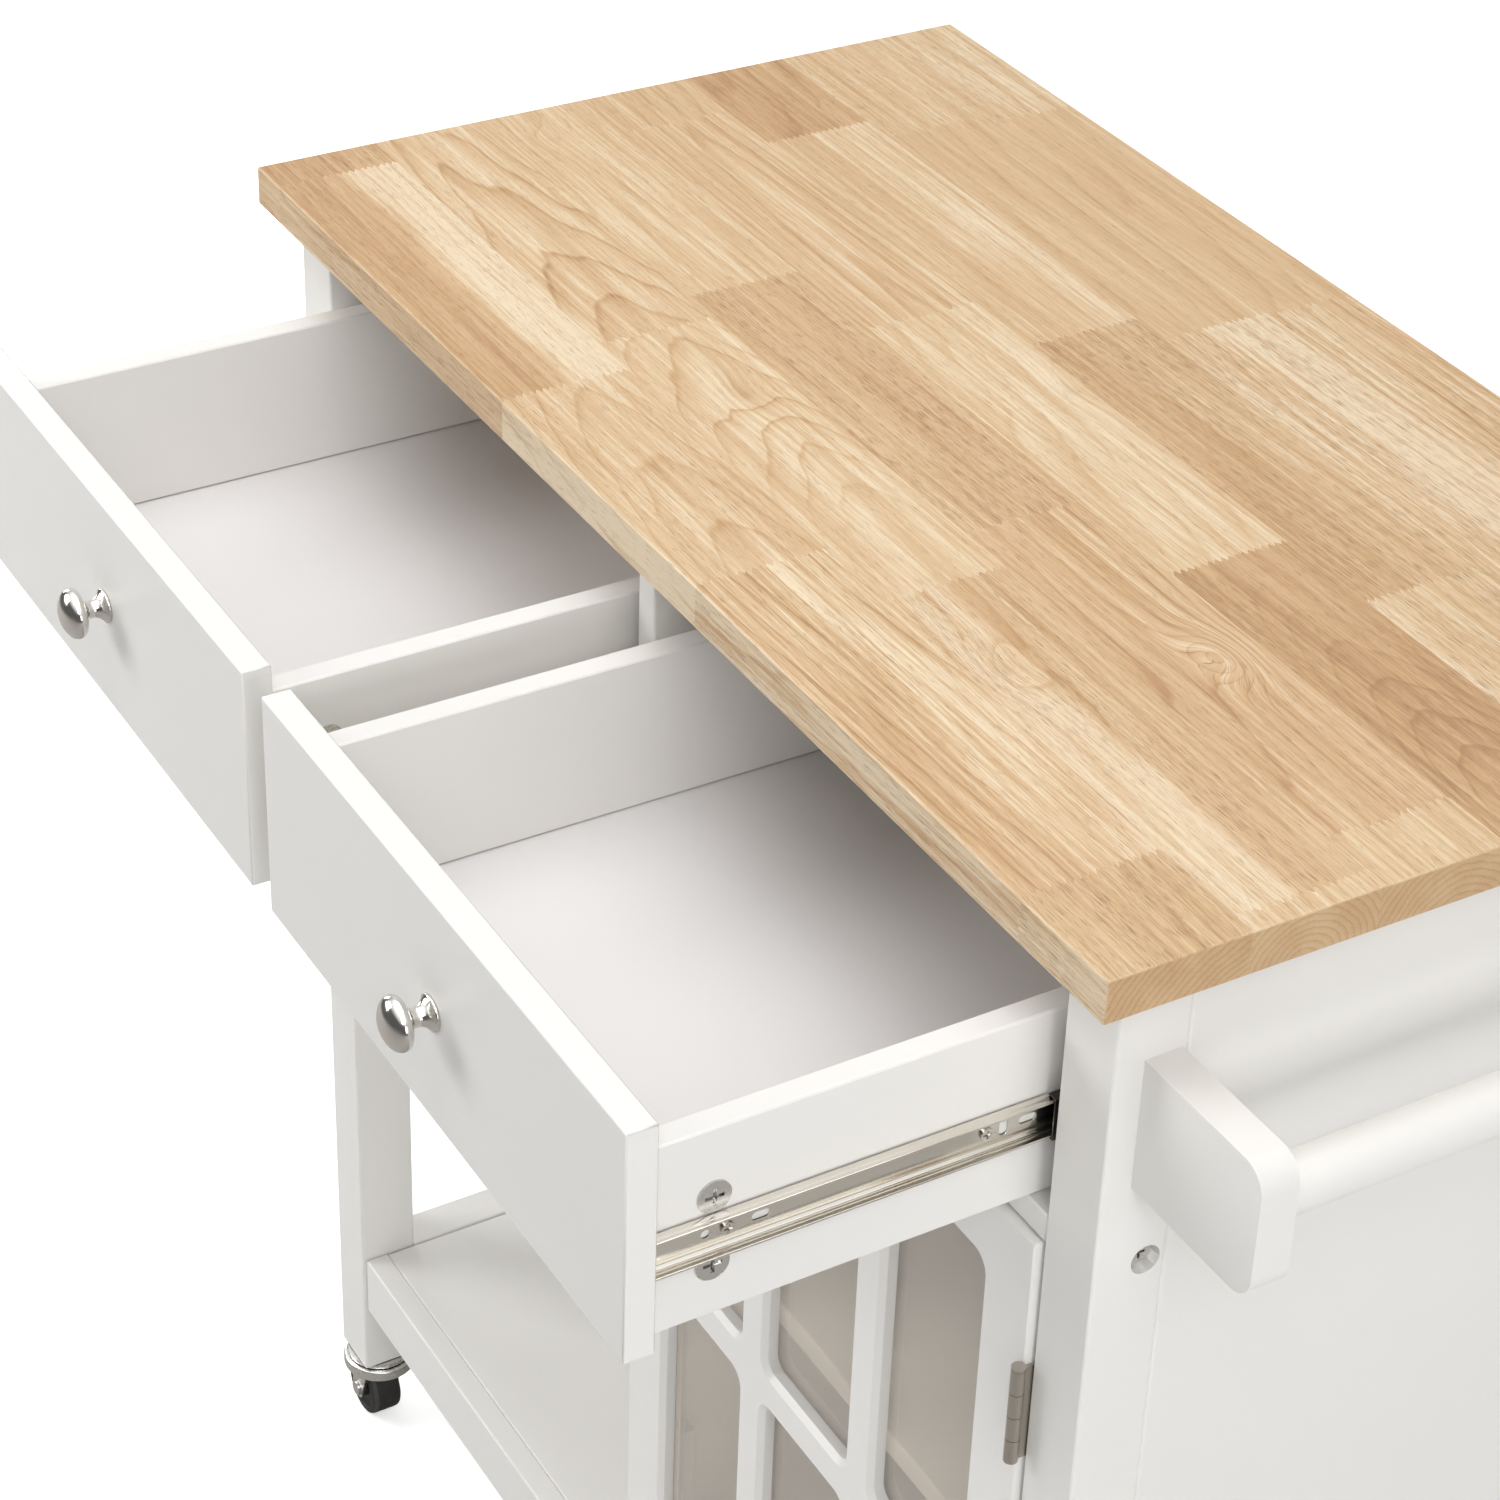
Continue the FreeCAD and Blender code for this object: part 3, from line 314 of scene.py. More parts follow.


# Paint, rubber and plastic: a tinted skin with a painted highlight and wear along the arrises

# edge is the tone of the painted highlight and wear along the rounded arrises, and the next number how much
# of it shows
coats = {
    "satinPaint": {"tint": (0.83, 0.817, 0.79), "edge": (0.90, 0.89, 0.88), "highlightAndWear": 0.6, "cloud": 0.004,
                   "cloudScale": 3.5, "gloss": 0.38, "peel": 620.0, "relief": 0.00001, "ior": 1.46},
    "drawerPaint": {"tint": (0.81, 0.795, 0.77), "edge": (0.88, 0.87, 0.86), "highlightAndWear": 0.6, "cloud": 0.006,
                    "cloudScale": 3.5, "gloss": 0.46, "peel": 480.0, "relief": 0.00001, "ior": 1.46},
    "printedFloor": {"tint": (0.80, 0.785, 0.785), "edge": (0.72, 0.69, 0.66), "highlightAndWear": 0.6, "cloud": 0.006,
                     "cloudScale": 3.5, "gloss": 0.52, "peel": 340.0, "relief": 0.00002, "ior": 1.46},
    # the door's paint is glossier, and paler than the same white elsewhere: painted light, where the door
    # stands in the open drawer's shade
    "doorPaintWithPaintedLight": {"tint": (0.88, 0.868, 0.845), "edge": (0.91, 0.90, 0.89), "highlightAndWear": 0.6, "cloud": 0.004,
                  "cloudScale": 3.5, "gloss": 0.33, "peel": 700.0, "relief": 0.00001, "ior": 1.46},
    "tyreRubber": {"tint": (0.022, 0.021, 0.020), "edge": (0.085, 0.08, 0.075), "highlightAndWear": 0.7, "cloud": 0.1,
                   "cloudScale": 40.0, "gloss": 0.52, "peel": 900.0, "relief": 0.00006, "ior": 1.5},
    "catchPlastic": {"tint": (0.72, 0.71, 0.69), "edge": (0.78, 0.77, 0.75), "highlightAndWear": 0.7, "cloud": 0.1,
                     "cloudScale": 40.0, "gloss": 0.42, "peel": 1100.0, "relief": 0.00002, "ior": 1.5},
}


def clouded(tree, at, look):
    return useGroup(tree, cloud, {"Position": at, "Color": opaque(look["tint"]), "Amount": look["cloud"],
                                  "Scale": look["cloudScale"]})["Color"]


# painted highlight and wear along the marked arrises
def withEdgeHighlightAndWear(tree, at, color, look):
    return useGroup(tree, edgeHighlightAndWear, {"Position": at, "Color": color, "Edge Color": opaque(look["edge"]),
                                      "Amount": look["highlightAndWear"]})["Color"]


def coatMaterial(name, look):
    material, tree, shader = newMaterial(name, {"IOR": look["ior"]})
    at = place(tree)
    color = withEdgeHighlightAndWear(tree, at, clouded(tree, at, look), look)
    skin = useGroup(tree, finePeel, {"Position": at, "Scale": look["peel"], "Gloss": look["gloss"]})
    feed(tree, shader, color, skin["Roughness"], skin["Height"], look["relief"])
    return material


materials = {name: coatMaterial(name, look) for name, look in coats.items()}
print("paint, rubber and plastic mixed:", len(coats))


# Metals

# the second-last number of each metal sets the painted shade in its slots, bores and under its lips, and the
# last how far it reaches
metals = {
    "satinNickel": {"tint": (0.50, 0.46, 0.41), "rough": 0.30, "swing": 0.16, "spots": 0.05,
                    "stretch": (900, 900, 60), "relief": 0.00001, "paintedShade": 0.75, "reach": 0.0012},
    "polishedNickel": {"tint": (0.72, 0.70, 0.67), "rough": 0.13, "swing": 0.05, "spots": 0.04,
                       "stretch": (220, 220, 220), "relief": 0.000004, "paintedShade": 0.3, "reach": 0.003},
    "zincPlate": {"tint": (0.72, 0.71, 0.69), "rough": 0.26, "swing": 0.16, "spots": 0.12,
                  "stretch": (240, 240, 240), "relief": 0.00001, "paintedShade": 0.9, "reach": 0.0016},
    "rolledSteel": {"tint": (0.80, 0.765, 0.70), "rough": 0.17, "swing": 0.12, "spots": 0.04,
                    "stretch": (1500, 12, 1500), "relief": 0.000006, "paintedShade": 0.8, "reach": 0.0022},
    "darkRetainer": {"tint": (0.10, 0.092, 0.08), "rough": 0.36, "swing": 0.2, "spots": 0.3,
                     "stretch": (900, 30, 900), "relief": 0.00001, "paintedShade": 0.6, "reach": 0.002},
}
metalBase = {"cloud": 0.06, "cloudScale": 30.0, "spotTint": (0.24, 0.22, 0.19)}


def metalMaterial(name, look):
    material, tree, shader = newMaterial(name, {"Metallic": 1.0})
    at = place(tree)
    drawn = useGroup(tree, drawnLines, {"Position": at, "Stretch": look["stretch"], "Rough": look["rough"],
                                        "Swing": look["swing"], "Spots": look["spots"]})
    spotted = mixed(tree, drawn["Dull"], clouded(tree, at, {**metalBase, **look}),
                    opaque(metalBase["spotTint"]))
    # painted shade darkens the metal in its slots, bores and under its lips
    withPaintedShade = useGroup(tree, paintedCornerShade, {"Color": spotted, "Amount": look["paintedShade"],
                                           "Reach": look["reach"]})["Color"]
    feed(tree, shader, withPaintedShade, drawn["Roughness"], drawn["Height"], look["relief"])
    return material


materials.update({name: metalMaterial(name, look) for name, look in metals.items()})
print("metals mixed:", len(metals))


# Cabinet glass

glassLook = {
    "tint": (0.985, 0.945, 0.895),
    "clear": 0.85,
    "ior": 1.45,
    "cloud": 0.04,
    "cloudScale": 12.0,
    "smearStretch": (9, 9, 2),
    "smearScale": 3.0,
    "smearDetail": 4.0,
    "smearRange": (0.4, 0.7, 0.01, 0.05),
}


def glassMaterial(name, look):
    material, tree, shader = newMaterial(name, {"Transmission Weight": look["clear"], "IOR": look["ior"]})
    at = place(tree)
    smear = noise(tree, stretched(tree, at, look["smearStretch"]), look["smearScale"], look["smearDetail"])
    feed(tree, shader, clouded(tree, at, look), ranged(tree, smear, *look["smearRange"]))
    # plain shadow rays pass, so that the cabinet behind the panes is lit
    through = addNode(tree, "BsdfTransparent", {0: opaque(look["tint"])})
    rays = tree.nodes.new("ShaderNodeLightPath").outputs
    passing = calc(tree, "MAXIMUM", rays["Is Shadow Ray"], rays["Is Diffuse Ray"])
    pane = addNode(tree, "MixShader", {0: passing, 1: shader.outputs[0], 2: through})
    tree.links.new(pane, tree.nodes["Material Output"].inputs[0])
    return material


materials["cabinetGlass"] = glassMaterial("cabinetGlass", glassLook)
print("glass mixed")


# Mesh helpers

tiny = 1e-7     # metres; nearer than this is the same place


def addPiece(name, mesh, node, materialNames):
    piece = bpy.data.objects.new(name, mesh)
    scene.collection.objects.link(piece)
    for materialName in materialNames:
        mesh.materials.append(materials[materialName])
    even = piece.modifiers.new("evenShade", "WEIGHTED_NORMAL")
    even.keep_sharp = True
    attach(piece, bodyOf[node])
    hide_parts(node)


def finishMesh(bm, name, creaseAngle):
    bmesh.ops.recalc_face_normals(bm, faces=bm.faces)
    mesh = bpy.data.meshes.new(name)
    bm.to_mesh(mesh)
    bm.free()
    mesh.shade_smooth()
    mesh.set_sharp_from_angle(angle=math.radians(creaseAngle))
    return mesh


# arrises are rounded on edges longer than a limit, in metres; crease is the least angle that stays hard
boardLook = {"round": 0.00035, "steps": 2, "longerThan": 0.004, "crease": 38}
curvedLook = {"round": 0.00035, "steps": 2, "longerThan": 0.0001, "crease": 38}
rolledLook = {"round": 0.0008, "steps": 3, "longerThan": 0.05, "crease": 62}
crispLook = {"round": 0.0, "crease": 38}
smallLook = {"round": 0.0, "crease": 42}
solidLook = {"weld": 0.000002, "flat": 0.6, "sharp": 30}        # a distance in metres, two angles in degrees


def softened(node, look):
    # the node's own shape, welded, with its long arrises rounded and marked
    bm = bmesh.new()
    bm.from_mesh(nodes[node].data)
    for layer in list(bm.loops.layers.uv):
        bm.loops.layers.uv.remove(layer)
    bmesh.ops.remove_doubles(bm, verts=bm.verts, dist=solidLook["weld"])
    bmesh.ops.dissolve_limit(bm, angle_limit=math.radians(solidLook["flat"]), verts=bm.verts, edges=bm.edges)
    mark = bm.faces.layers.float.new("edgeMark")
    if look["round"]:
        sharp = [edge for edge in bm.edges
                 if len(edge.link_faces) == 2 and edge.calc_length() > look["longerThan"]
                 and edge.calc_face_angle(0.0) > math.radians(solidLook["sharp"])]
        made = bmesh.ops.bevel(bm, geom=sharp, offset=look["round"], offset_type="OFFSET",
                               segments=look["steps"], profile=0.5, affect="EDGES", clamp_overlap=True)
        for face in made["faces"]:
            face[mark] = 1.0
    mesh = finishMesh(bm, node + "Mesh", look["crease"])
    if "custom_normal" in mesh.attributes:
        mesh.attributes.remove(mesh.attributes["custom_normal"])
    return mesh


# Boards, door and towel bar

def dressBoards():
    satin = ["front_left_leg", "front_right_leg", "rear_left_leg", "rear_right_leg", "top_front_rail",
             "drawer_rail", "drawer_stile", "front_bottom_rail", "rear_bottom_rail", "rear_apron",
             "side_bottom_rails", "right_side_panel", "left_apron", "bottom_shelf", "divider_panel",
             "cabinet_shelf", "slide_battens", "back_panel", "towel_bar", "left_drawer_front",
             "right_drawer_front"]
    drawers = ["left_drawer_", "right_drawer_"]
    walls = [drawer + wall for drawer in drawers for wall in ("left_side", "right_side", "back")]
    plan = [(node, boardLook, "satinPaint") for node in satin]
    plan += [("towel_brackets", curvedLook, "satinPaint")]
    plan += [(node, boardLook, "drawerPaint") for node in walls]
    plan += [(drawer + "bottom", crispLook, "printedFloor") for drawer in drawers]
    plan += [("door_frame", curvedLook, "doorPaintWithPaintedLight"), ("door_glass_beads", boardLook, "doorPaintWithPaintedLight")]
    for node, look, finish in plan:
        ending = "_sheet" if finish == "printedFloor" else "_painted"
        addPiece(node + ending, softened(node, look), node, [finish])
    print("boards dressed:", len(plan))


def dressGlass():
    # the panes keep their own shape and only change their material
    panes = nodes["door_glass"].data
    panes.materials.clear()
    panes.materials.append(materials["cabinetGlass"])
    print("panes dressed")


# Fittings

fittingLook = {
    "proud": 0.0009,            # how far the cams' faces stand out of the drawer's sides
    "near": 0.00002,
    "finishes": {
        "zincPlate": ["frame_bolts", "frame_screws", "caster_mounts", "left_drawer_fittings",
                      "right_drawer_fittings", "front_left_caster_fork", "front_right_caster_fork",
                      "rear_left_caster_fork", "rear_right_caster_fork", "shelf_pins"],
        "rolledSteel": ["slide_cabinet_members", "left_drawer_rails", "right_drawer_rails"],
        "darkRetainer": ["left_slide_cages", "right_slide_cages"],
        "satinNickel": ["hinge_post_leaves", "door_hinge_leaves", "door_strike_plate"],
        "catchPlastic": ["magnet_catch"],
    },
}


def standProud(mesh, node):
    # the cams' faces come out a hair, so that their rolled rims show
    low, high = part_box(node)
    for vert in mesh.vertices:
        if abs(vert.co.x - low.x) < fittingLook["near"]:
            vert.co.x -= fittingLook["proud"]
        if abs(vert.co.x - high.x) < fittingLook["near"]:
            vert.co.x += fittingLook["proud"]


def dressFittings():
    for finish, members in fittingLook["finishes"].items():
        for node in members:
            mesh = softened(node, rolledLook if finish == "rolledSteel" else smallLook)
            if node.endswith("_drawer_fittings"):
                standProud(mesh, node)
            addPiece(node + "_finished", mesh, node, [finish])
    print("fittings dressed:", sum(len(members) for members in fittingLook["finishes"].values()))


# Turned pieces

def ringOf(bm, centre, turn, along, radius, steps):
    if radius < tiny:
        return [bm.verts.new(centre + turn @ Vector((0, 0, along)))]
    ring = []
    for step in range(steps):
        angle = 2 * math.pi * step / steps
        spot = Vector((radius * math.cos(angle), radius * math.sin(angle), along))
        ring.append(bm.verts.new(centre + turn @ spot))
    return ring


def lathe(profile, steps, centre, axis, marks=()):
    # profile: (distance along the axis, radius) pairs; axis is a unit vector from the seat outwards
    bm = bmesh.new()
    mark = bm.faces.layers.float.new("edgeMark")
    turn = axis.to_track_quat("Z", "Y").to_matrix()
    rings = [ringOf(bm, centre, turn, along, radius, steps) for along, radius in profile]
    for index, (low, high) in enumerate(zip(rings, rings[1:])):
        for step in range(steps):
            nextStep = (step + 1) % steps
            corners = []
            for ring, at in ((low, step), (low, nextStep), (high, nextStep), (high, step)):
                vert = ring[at % len(ring)]
                if vert not in corners:
                    corners.append(vert)
            if len(corners) > 2:
                bm.faces.new(corners)[mark] = 1.0 if index in marks else 0.0
    return bm


def smoothCurve(points, between):
    # a smooth line through the profile's points
    made = []
    for index in range(len(points) - 1):
        p0 = points[max(index - 1, 0)]
        p1, p2 = points[index], points[index + 1]
        p3 = points[min(index + 2, len(points) - 1)]
        for step in range(between):
            t = step / between
            made.append(tuple(
                0.5 * (2 * b + (c - a) * t + (2 * a - 5 * b + 4 * c - d) * t * t
                       + (3 * b - a - 3 * c + d) * t ** 3)
                for a, b, c, d in zip(p0, p1, p2, p3)))
    made.append(points[-1])
    return [(along, max(radius, 0.0)) for along, radius in made]


knobLook = {
    "steps": 72,
    "between": 4,
    "crease": 50,
    "out": 0.024,               # from its seat to its tip
    "foot": [(0.0, 0.0), (0.0, 0.0088), (0.0004, 0.0090), (0.0011, 0.0090)],
    "stem": [(0.0015, 0.0087), (0.0024, 0.0074), (0.0042, 0.0057), (0.0065, 0.0047), (0.0086, 0.0045),
             (0.0106, 0.0052), (0.0120, 0.0074), (0.0128, 0.0100), (0.0138, 0.0118), (0.0152, 0.0128),
             (0.0167, 0.0130), (0.0184, 0.0126), (0.0200, 0.0115), (0.0217, 0.0092), (0.0230, 0.0064),
             (0.0238, 0.0033), (0.0240, 0.0)],
    "screwSteps": 32,
    "screwDeep": 0.0022,
    "headBeyond": 0.016,        # from the seat; the door's sunk screw ends nearer, and has no head here
    "screw": [(0.0, 0.0), (0.0, 0.0039), (0.0012, 0.0038), (0.0019, 0.003), (0.0022, 0.0016), (0.0022, 0.0)],
}


def buildKnob(node):
    look = knobLook
    low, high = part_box(node)
    centre = Vector(((low.x + high.x) / 2, low.y + look["out"], (low.z + high.z) / 2))
    profile = look["foot"] + smoothCurve(look["stem"], look["between"])
    bm = lathe(profile, look["steps"], centre, Vector((0, -1, 0)))
    if high.y - centre.y > look["headBeyond"]:
        # the machine screw's pan head stays on the inside of the front
        seat = Vector((centre.x, high.y - look["screwDeep"], centre.z))
        head = lathe(look["screw"], look["screwSteps"], seat, Vector((0, 1, 0)))
        headMesh = bpy.data.meshes.new("knobScrew")
        head.to_mesh(headMesh)
        head.free()
        bm.from_mesh(headMesh)
        bpy.data.meshes.remove(headMesh)
    addPiece(node + "_turned", finishMesh(bm, node + "Mesh", look["crease"]), node, ["polishedNickel"])


wheelLook = {
    "steps": 64,
    "crease": 40,
    "weld": 0.000001,
    "wide": 0.021,
    "half": [(0.0, 0.0031), (0.0, 0.0065), (0.0018, 0.0068), (0.0020, 0.0080), (0.0020, 0.0135),
             (0.0017, 0.0148), (0.0002, 0.0152), (0.0, 0.0160), (0.0003, 0.0178), (0.0010, 0.0191),
             (0.0022, 0.0198), (0.0040, 0.0200), (0.0070, 0.0200), (0.0073, 0.01985), (0.0078, 0.01985),
             (0.0081, 0.0200), (0.0105, 0.0200)],
    "shoulderSteps": (9, 10, 22, 23),    # the profile's steps at the tyre's shoulders, which take the painted highlight and wear tone
}


def buildWheel(node):
    look = wheelLook
    low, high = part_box(node)
    half = look["half"]
    profile = half + [(look["wide"] - along, radius) for along, radius in reversed(half[:-1])]
    profile.append(profile[0])
    centre = Vector(((low.x + high.x) / 2, low.y, (low.z + high.z) / 2))
    bm = lathe(profile, look["steps"], centre, Vector((0, 1, 0)), marks=look["shoulderSteps"])
    bmesh.ops.remove_doubles(bm, verts=bm.verts, dist=look["weld"])
    addPiece(node + "_tyre", finishMesh(bm, node + "Mesh", look["crease"]), node, ["tyreRubber"])


# Laminated top

def stave(end, tone, **changes):
    # one glued block: where it ends along the row, its tone, and what sets it apart from a plain one
    plain = {"end": end, "tone": tone, "lean": 0.0, "blush": 0.3, "rings": (90, 0, 3), "middle": 0.5,
             "figure": 0.35, "pores": 0.35, "knot": (0.0, 0.0, 0.0), "drift": 2.5, "focus": 0.0,
             "streaks": 1.0}
    return {**plain, **changes}


topLook = {
    "rows": [0.0, 0.071, 0.1365, 0.202, 0.2675, 0.3325, 0.3975, 0.450],     # glue lines, from the front edge
    "tooth": 0.0018,            # half the depth of a finger joint
    "pitch": 0.0038,
    "ease": 0.0010,
    "easeSteps": 3,
    "sharp": 57,                # degrees; the board's own arrises and no joint
    "crease": 50,
    "endFacing": 0.75,
    "grainSteps": (7.3, 2.9),   # how far the grain moves on from row to row and from block to block
    # lean: how much darker the front side of a block is; rings: straight, arched and pulled along;
    # focus: how fast the figure fades away from the knot's place
    "blocks": [
        [stave(0.0275, 0.60, lean=0.1, figure=0.5, pores=0.6),
         stave(0.295, 0.33, lean=0.62, figure=0.3, pores=0.4, rings=(120, 0, 2)),
         stave(0.490, 0.27, rings=(0, 1700, -14), middle=0.53, figure=0.45, drift=2.0),
         stave(0.760, 0.30, lean=0.28, rings=(120, 0, -6), figure=0.6, blush=0.4, streaks=1.5),
         stave(0.824, 0.42, rings=(120, 0, 4), pores=0.9)],
        [stave(0.265, 0.26, rings=(0, 1300, -13), middle=0.40, figure=0.7, blush=0.4, drift=2.4,
               knot=(0.130, 0.0975, 0.0), focus=25, pores=0.2),
         stave(0.541, 0.23, rings=(0, 1700, -24), middle=0.52, figure=0.85, drift=2.4,
               knot=(0.345, 0.111, 0.45), focus=330, pores=0.2),
         stave(0.812, 0.27, lean=-0.26, rings=(60, 0, 4), middle=0.2, knot=(0.615, 0.089, 0.4), pores=0.7),
         stave(0.824, 0.24)],
        [stave(0.240, 0.29, rings=(60, 0, 4), figure=0.3, knot=(0.040, 0.160, 0.2), pores=0.2),
         stave(0.507, 0.42, rings=(110, 0, -2), middle=0.6, figure=0.4, pores=0.8, blush=0.45),
         stave(0.785, 0.37, rings=(100, 900, 5), figure=0.6, blush=0.65, knot=(0.650, 0.180, -1.3),
               streaks=1.3),
         stave(0.824, 0.30)],
        [stave(0.050, 0.34, rings=(90, 0, 12)),
         stave(0.312, 0.30, rings=(0, 3900, -5), middle=0.54, figure=0.7, blush=0.6, pores=0.1, drift=1.2),
         stave(0.582, 0.20, rings=(60, 0, 9), middle=0.4, figure=0.3, knot=(0.415, 0.258, 0.3), pores=0.2),
         stave(0.824, 0.68, rings=(0, 2600, -32), figure=0.6, pores=0.6, drift=2.0,
               knot=(0.824, 0.235, 0.0), focus=120)],
        [stave(0.097, 0.62, rings=(40, 0, 8), middle=0.4, blush=0.7),
         stave(0.365, 0.24, lean=0.2, rings=(110, 0, 3), middle=0.7, figure=0.4, pores=0.2),
         stave(0.643, 0.45, lean=0.14, rings=(90, 0, -3), figure=0.3, pores=0.9),
         stave(0.824, 0.22, rings=(80, 0, 2), middle=0.3, pores=0.9)],
        [stave(0.120, 0.28, rings=(90, 0, 4)),
         stave(0.390, 0.36, rings=(60, 0, 4), figure=0.35, pores=0.1, blush=0.5, streaks=0.7, drift=1.6),
         stave(0.655, 0.08, lean=0.2, rings=(110, 0, 5), middle=0.4, figure=0.6, pores=0.75, blush=0.6,
               streaks=1.3),
         stave(0.824, 0.34, rings=(120, 0, -4))],
        [stave(0.130, 0.22, rings=(60, 0, 3)),
         stave(0.393, 0.34, rings=(40, 800, 8), middle=0.4, figure=0.3, pores=0.1, blush=0.7, streaks=0.7,
               drift=1.6),
         stave(0.668, 0.30, rings=(120, 0, 3), figure=0.7, pores=0.6, streaks=1.3),
         stave(0.824, 0.30, rings=(90, 0, 2))],
    ],
    # ring centres on the sawn ends, per row: along the row and above the middle
    "endHearts": [(0.120, -0.090), (0.028, -0.018), (0.045, -0.026), (-0.030, 0.050), (0.020, -0.045),
                  (0.050, 0.060), (0.010, -0.030)],
}


def jointLine(x, y0, y1, look):
    teeth = max(2, round((y1 - y0) / look["pitch"]))
    line = []
    for step in range(2 * teeth + 1):
        side = 1 if step % 2 == 0 else -1
        line.append((x + side * look["tooth"], y0 + (y1 - y0) * step / (2 * teeth)))
    return line


def buildTop():
    look = topLook
    low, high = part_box("tabletop")
    wide = high.x - low.x
    rows = look["rows"]
    rowStep, blockStep = look["grainSteps"]
    joints = []
    crossings = [{0.0, wide} for _ in rows]
    for index, blocks in enumerate(look["blocks"]):
        lines = [[(0.0, rows[index]), (0.0, rows[index + 1])]]
        for block in blocks[:-1]:
            lines.append(jointLine(block["end"], rows[index], rows[index + 1], look))
        lines.append([(wide, rows[index]), (wide, rows[index + 1])])
        for line in lines:
            crossings[index].add(line[0][0])
            crossings[index + 1].add(line[-1][0])
        joints.append(lines)
    bm = bmesh.new()
    layers = {name: bm.faces.layers.float_vector.new(name)
              for name in ("staveTone", "staveRings", "stavePlace", "staveKnot", "staveHeart", "staveSkin",
                           "staveDrift")}
    mark = bm.faces.layers.float.new("edgeMark")
    found = {}

    def vertAt(x, y, top):
        key = (round(x, 6), round(y, 6), top)
        if key not in found:
            found[key] = bm.verts.new((low.x + x, low.y + y, high.z if top else low.z))
        return found[key]

    def lineBetween(row, x0, x1):
        return [(x, rows[row]) for x in sorted(crossings[row]) if x0 - tiny <= x <= x1 + tiny]

    def addFace(corners, index, number):
        face = bm.faces.new([vertAt(*corner) for corner in corners])
        block = look["blocks"][index][number]
        row0, row1 = rows[index], rows[index + 1]
        along, above = look["endHearts"][index]
        knotX, knotY, knotPull = block["knot"]
        values = {
            "staveTone": (block["tone"], block["lean"], block["blush"]),
            "staveRings": block["rings"],
            "stavePlace": (index * rowStep + number * blockStep,
                           low.y + row0 + (row1 - row0) * block["middle"], row1 - row0),
            "staveKnot": (low.x + knotX, low.y + knotY, knotPull),
            "staveHeart": (0, low.y + row0 + along, (low.z + high.z) / 2 + above),
            "staveSkin": (block["figure"], block["pores"], low.y + (row0 + row1) / 2),
            "staveDrift": (block["drift"], block["focus"], block["streaks"]),
        }
        for name, value in values.items():
            face[layers[name]] = Vector(value)

    def addWall(start, end, index, number):
        # one upright face of the board's rim, from start to end
        corners = [(*start, False), (*end, False), (*end, True), (*start, True)]
        addFace(corners, index, number)

    for index, lines in enumerate(joints):
        for number in range(len(lines) - 1):
            left, right = lines[number], lines[number + 1]
            outline = lineBetween(index, left[0][0], right[0][0]) + right[1:-1]
            outline += list(reversed(lineBetween(index + 1, left[-1][0], right[-1][0])))
            outline += list(reversed(left[1:-1]))
            addFace([(x, y, True) for x, y in outline], index, number)
            addFace([(x, y, False) for x, y in reversed(outline)], index, number)
    for row, index in ((0, 0), (len(rows) - 1, len(rows) - 2)):
        xs = sorted(crossings[row])
        ends = [block["end"] for block in look["blocks"][index]]
        for x0, x1 in zip(xs, xs[1:]):
            number = next((i for i, end in enumerate(ends) if (x0 + x1) / 2 < end), len(ends) - 1)
            addWall((x0, rows[row]), (x1, rows[row]), index, number)
    for index in range(len(rows) - 1):
        addWall((0.0, rows[index]), (0.0, rows[index + 1]), index, 0)
    for index in range(len(rows) - 1):
        addWall((wide, rows[index]), (wide, rows[index + 1]), index, len(look["blocks"][index]) - 1)
    bmesh.ops.recalc_face_normals(bm, faces=bm.faces)
    sharp = [edge for edge in bm.edges if edge.calc_face_angle(0.0) > math.radians(look["sharp"])]
    made = bmesh.ops.bevel(bm, geom=sharp, offset=look["ease"], offset_type="OFFSET",
                           segments=look["easeSteps"], profile=0.5, affect="EDGES", clamp_overlap=False)
    for face in made["faces"]:
        face[mark] = 1.0
    for face in bm.faces:
        face.material_index = 1 if abs(face.normal.x) > look["endFacing"] else 0
    mesh = finishMesh(bm, "laminatedTop", look["crease"])
    addPiece("laminated_top", mesh, "tabletop", ["rubberwoodFace", "rubberwoodEnd"])


# Rubberwood: the long faces, then the sawn ends

ringLook = {"rise": (0.35, 0.95), "line": (0.80, 0.93), "drop": (0.94, 1.0)}

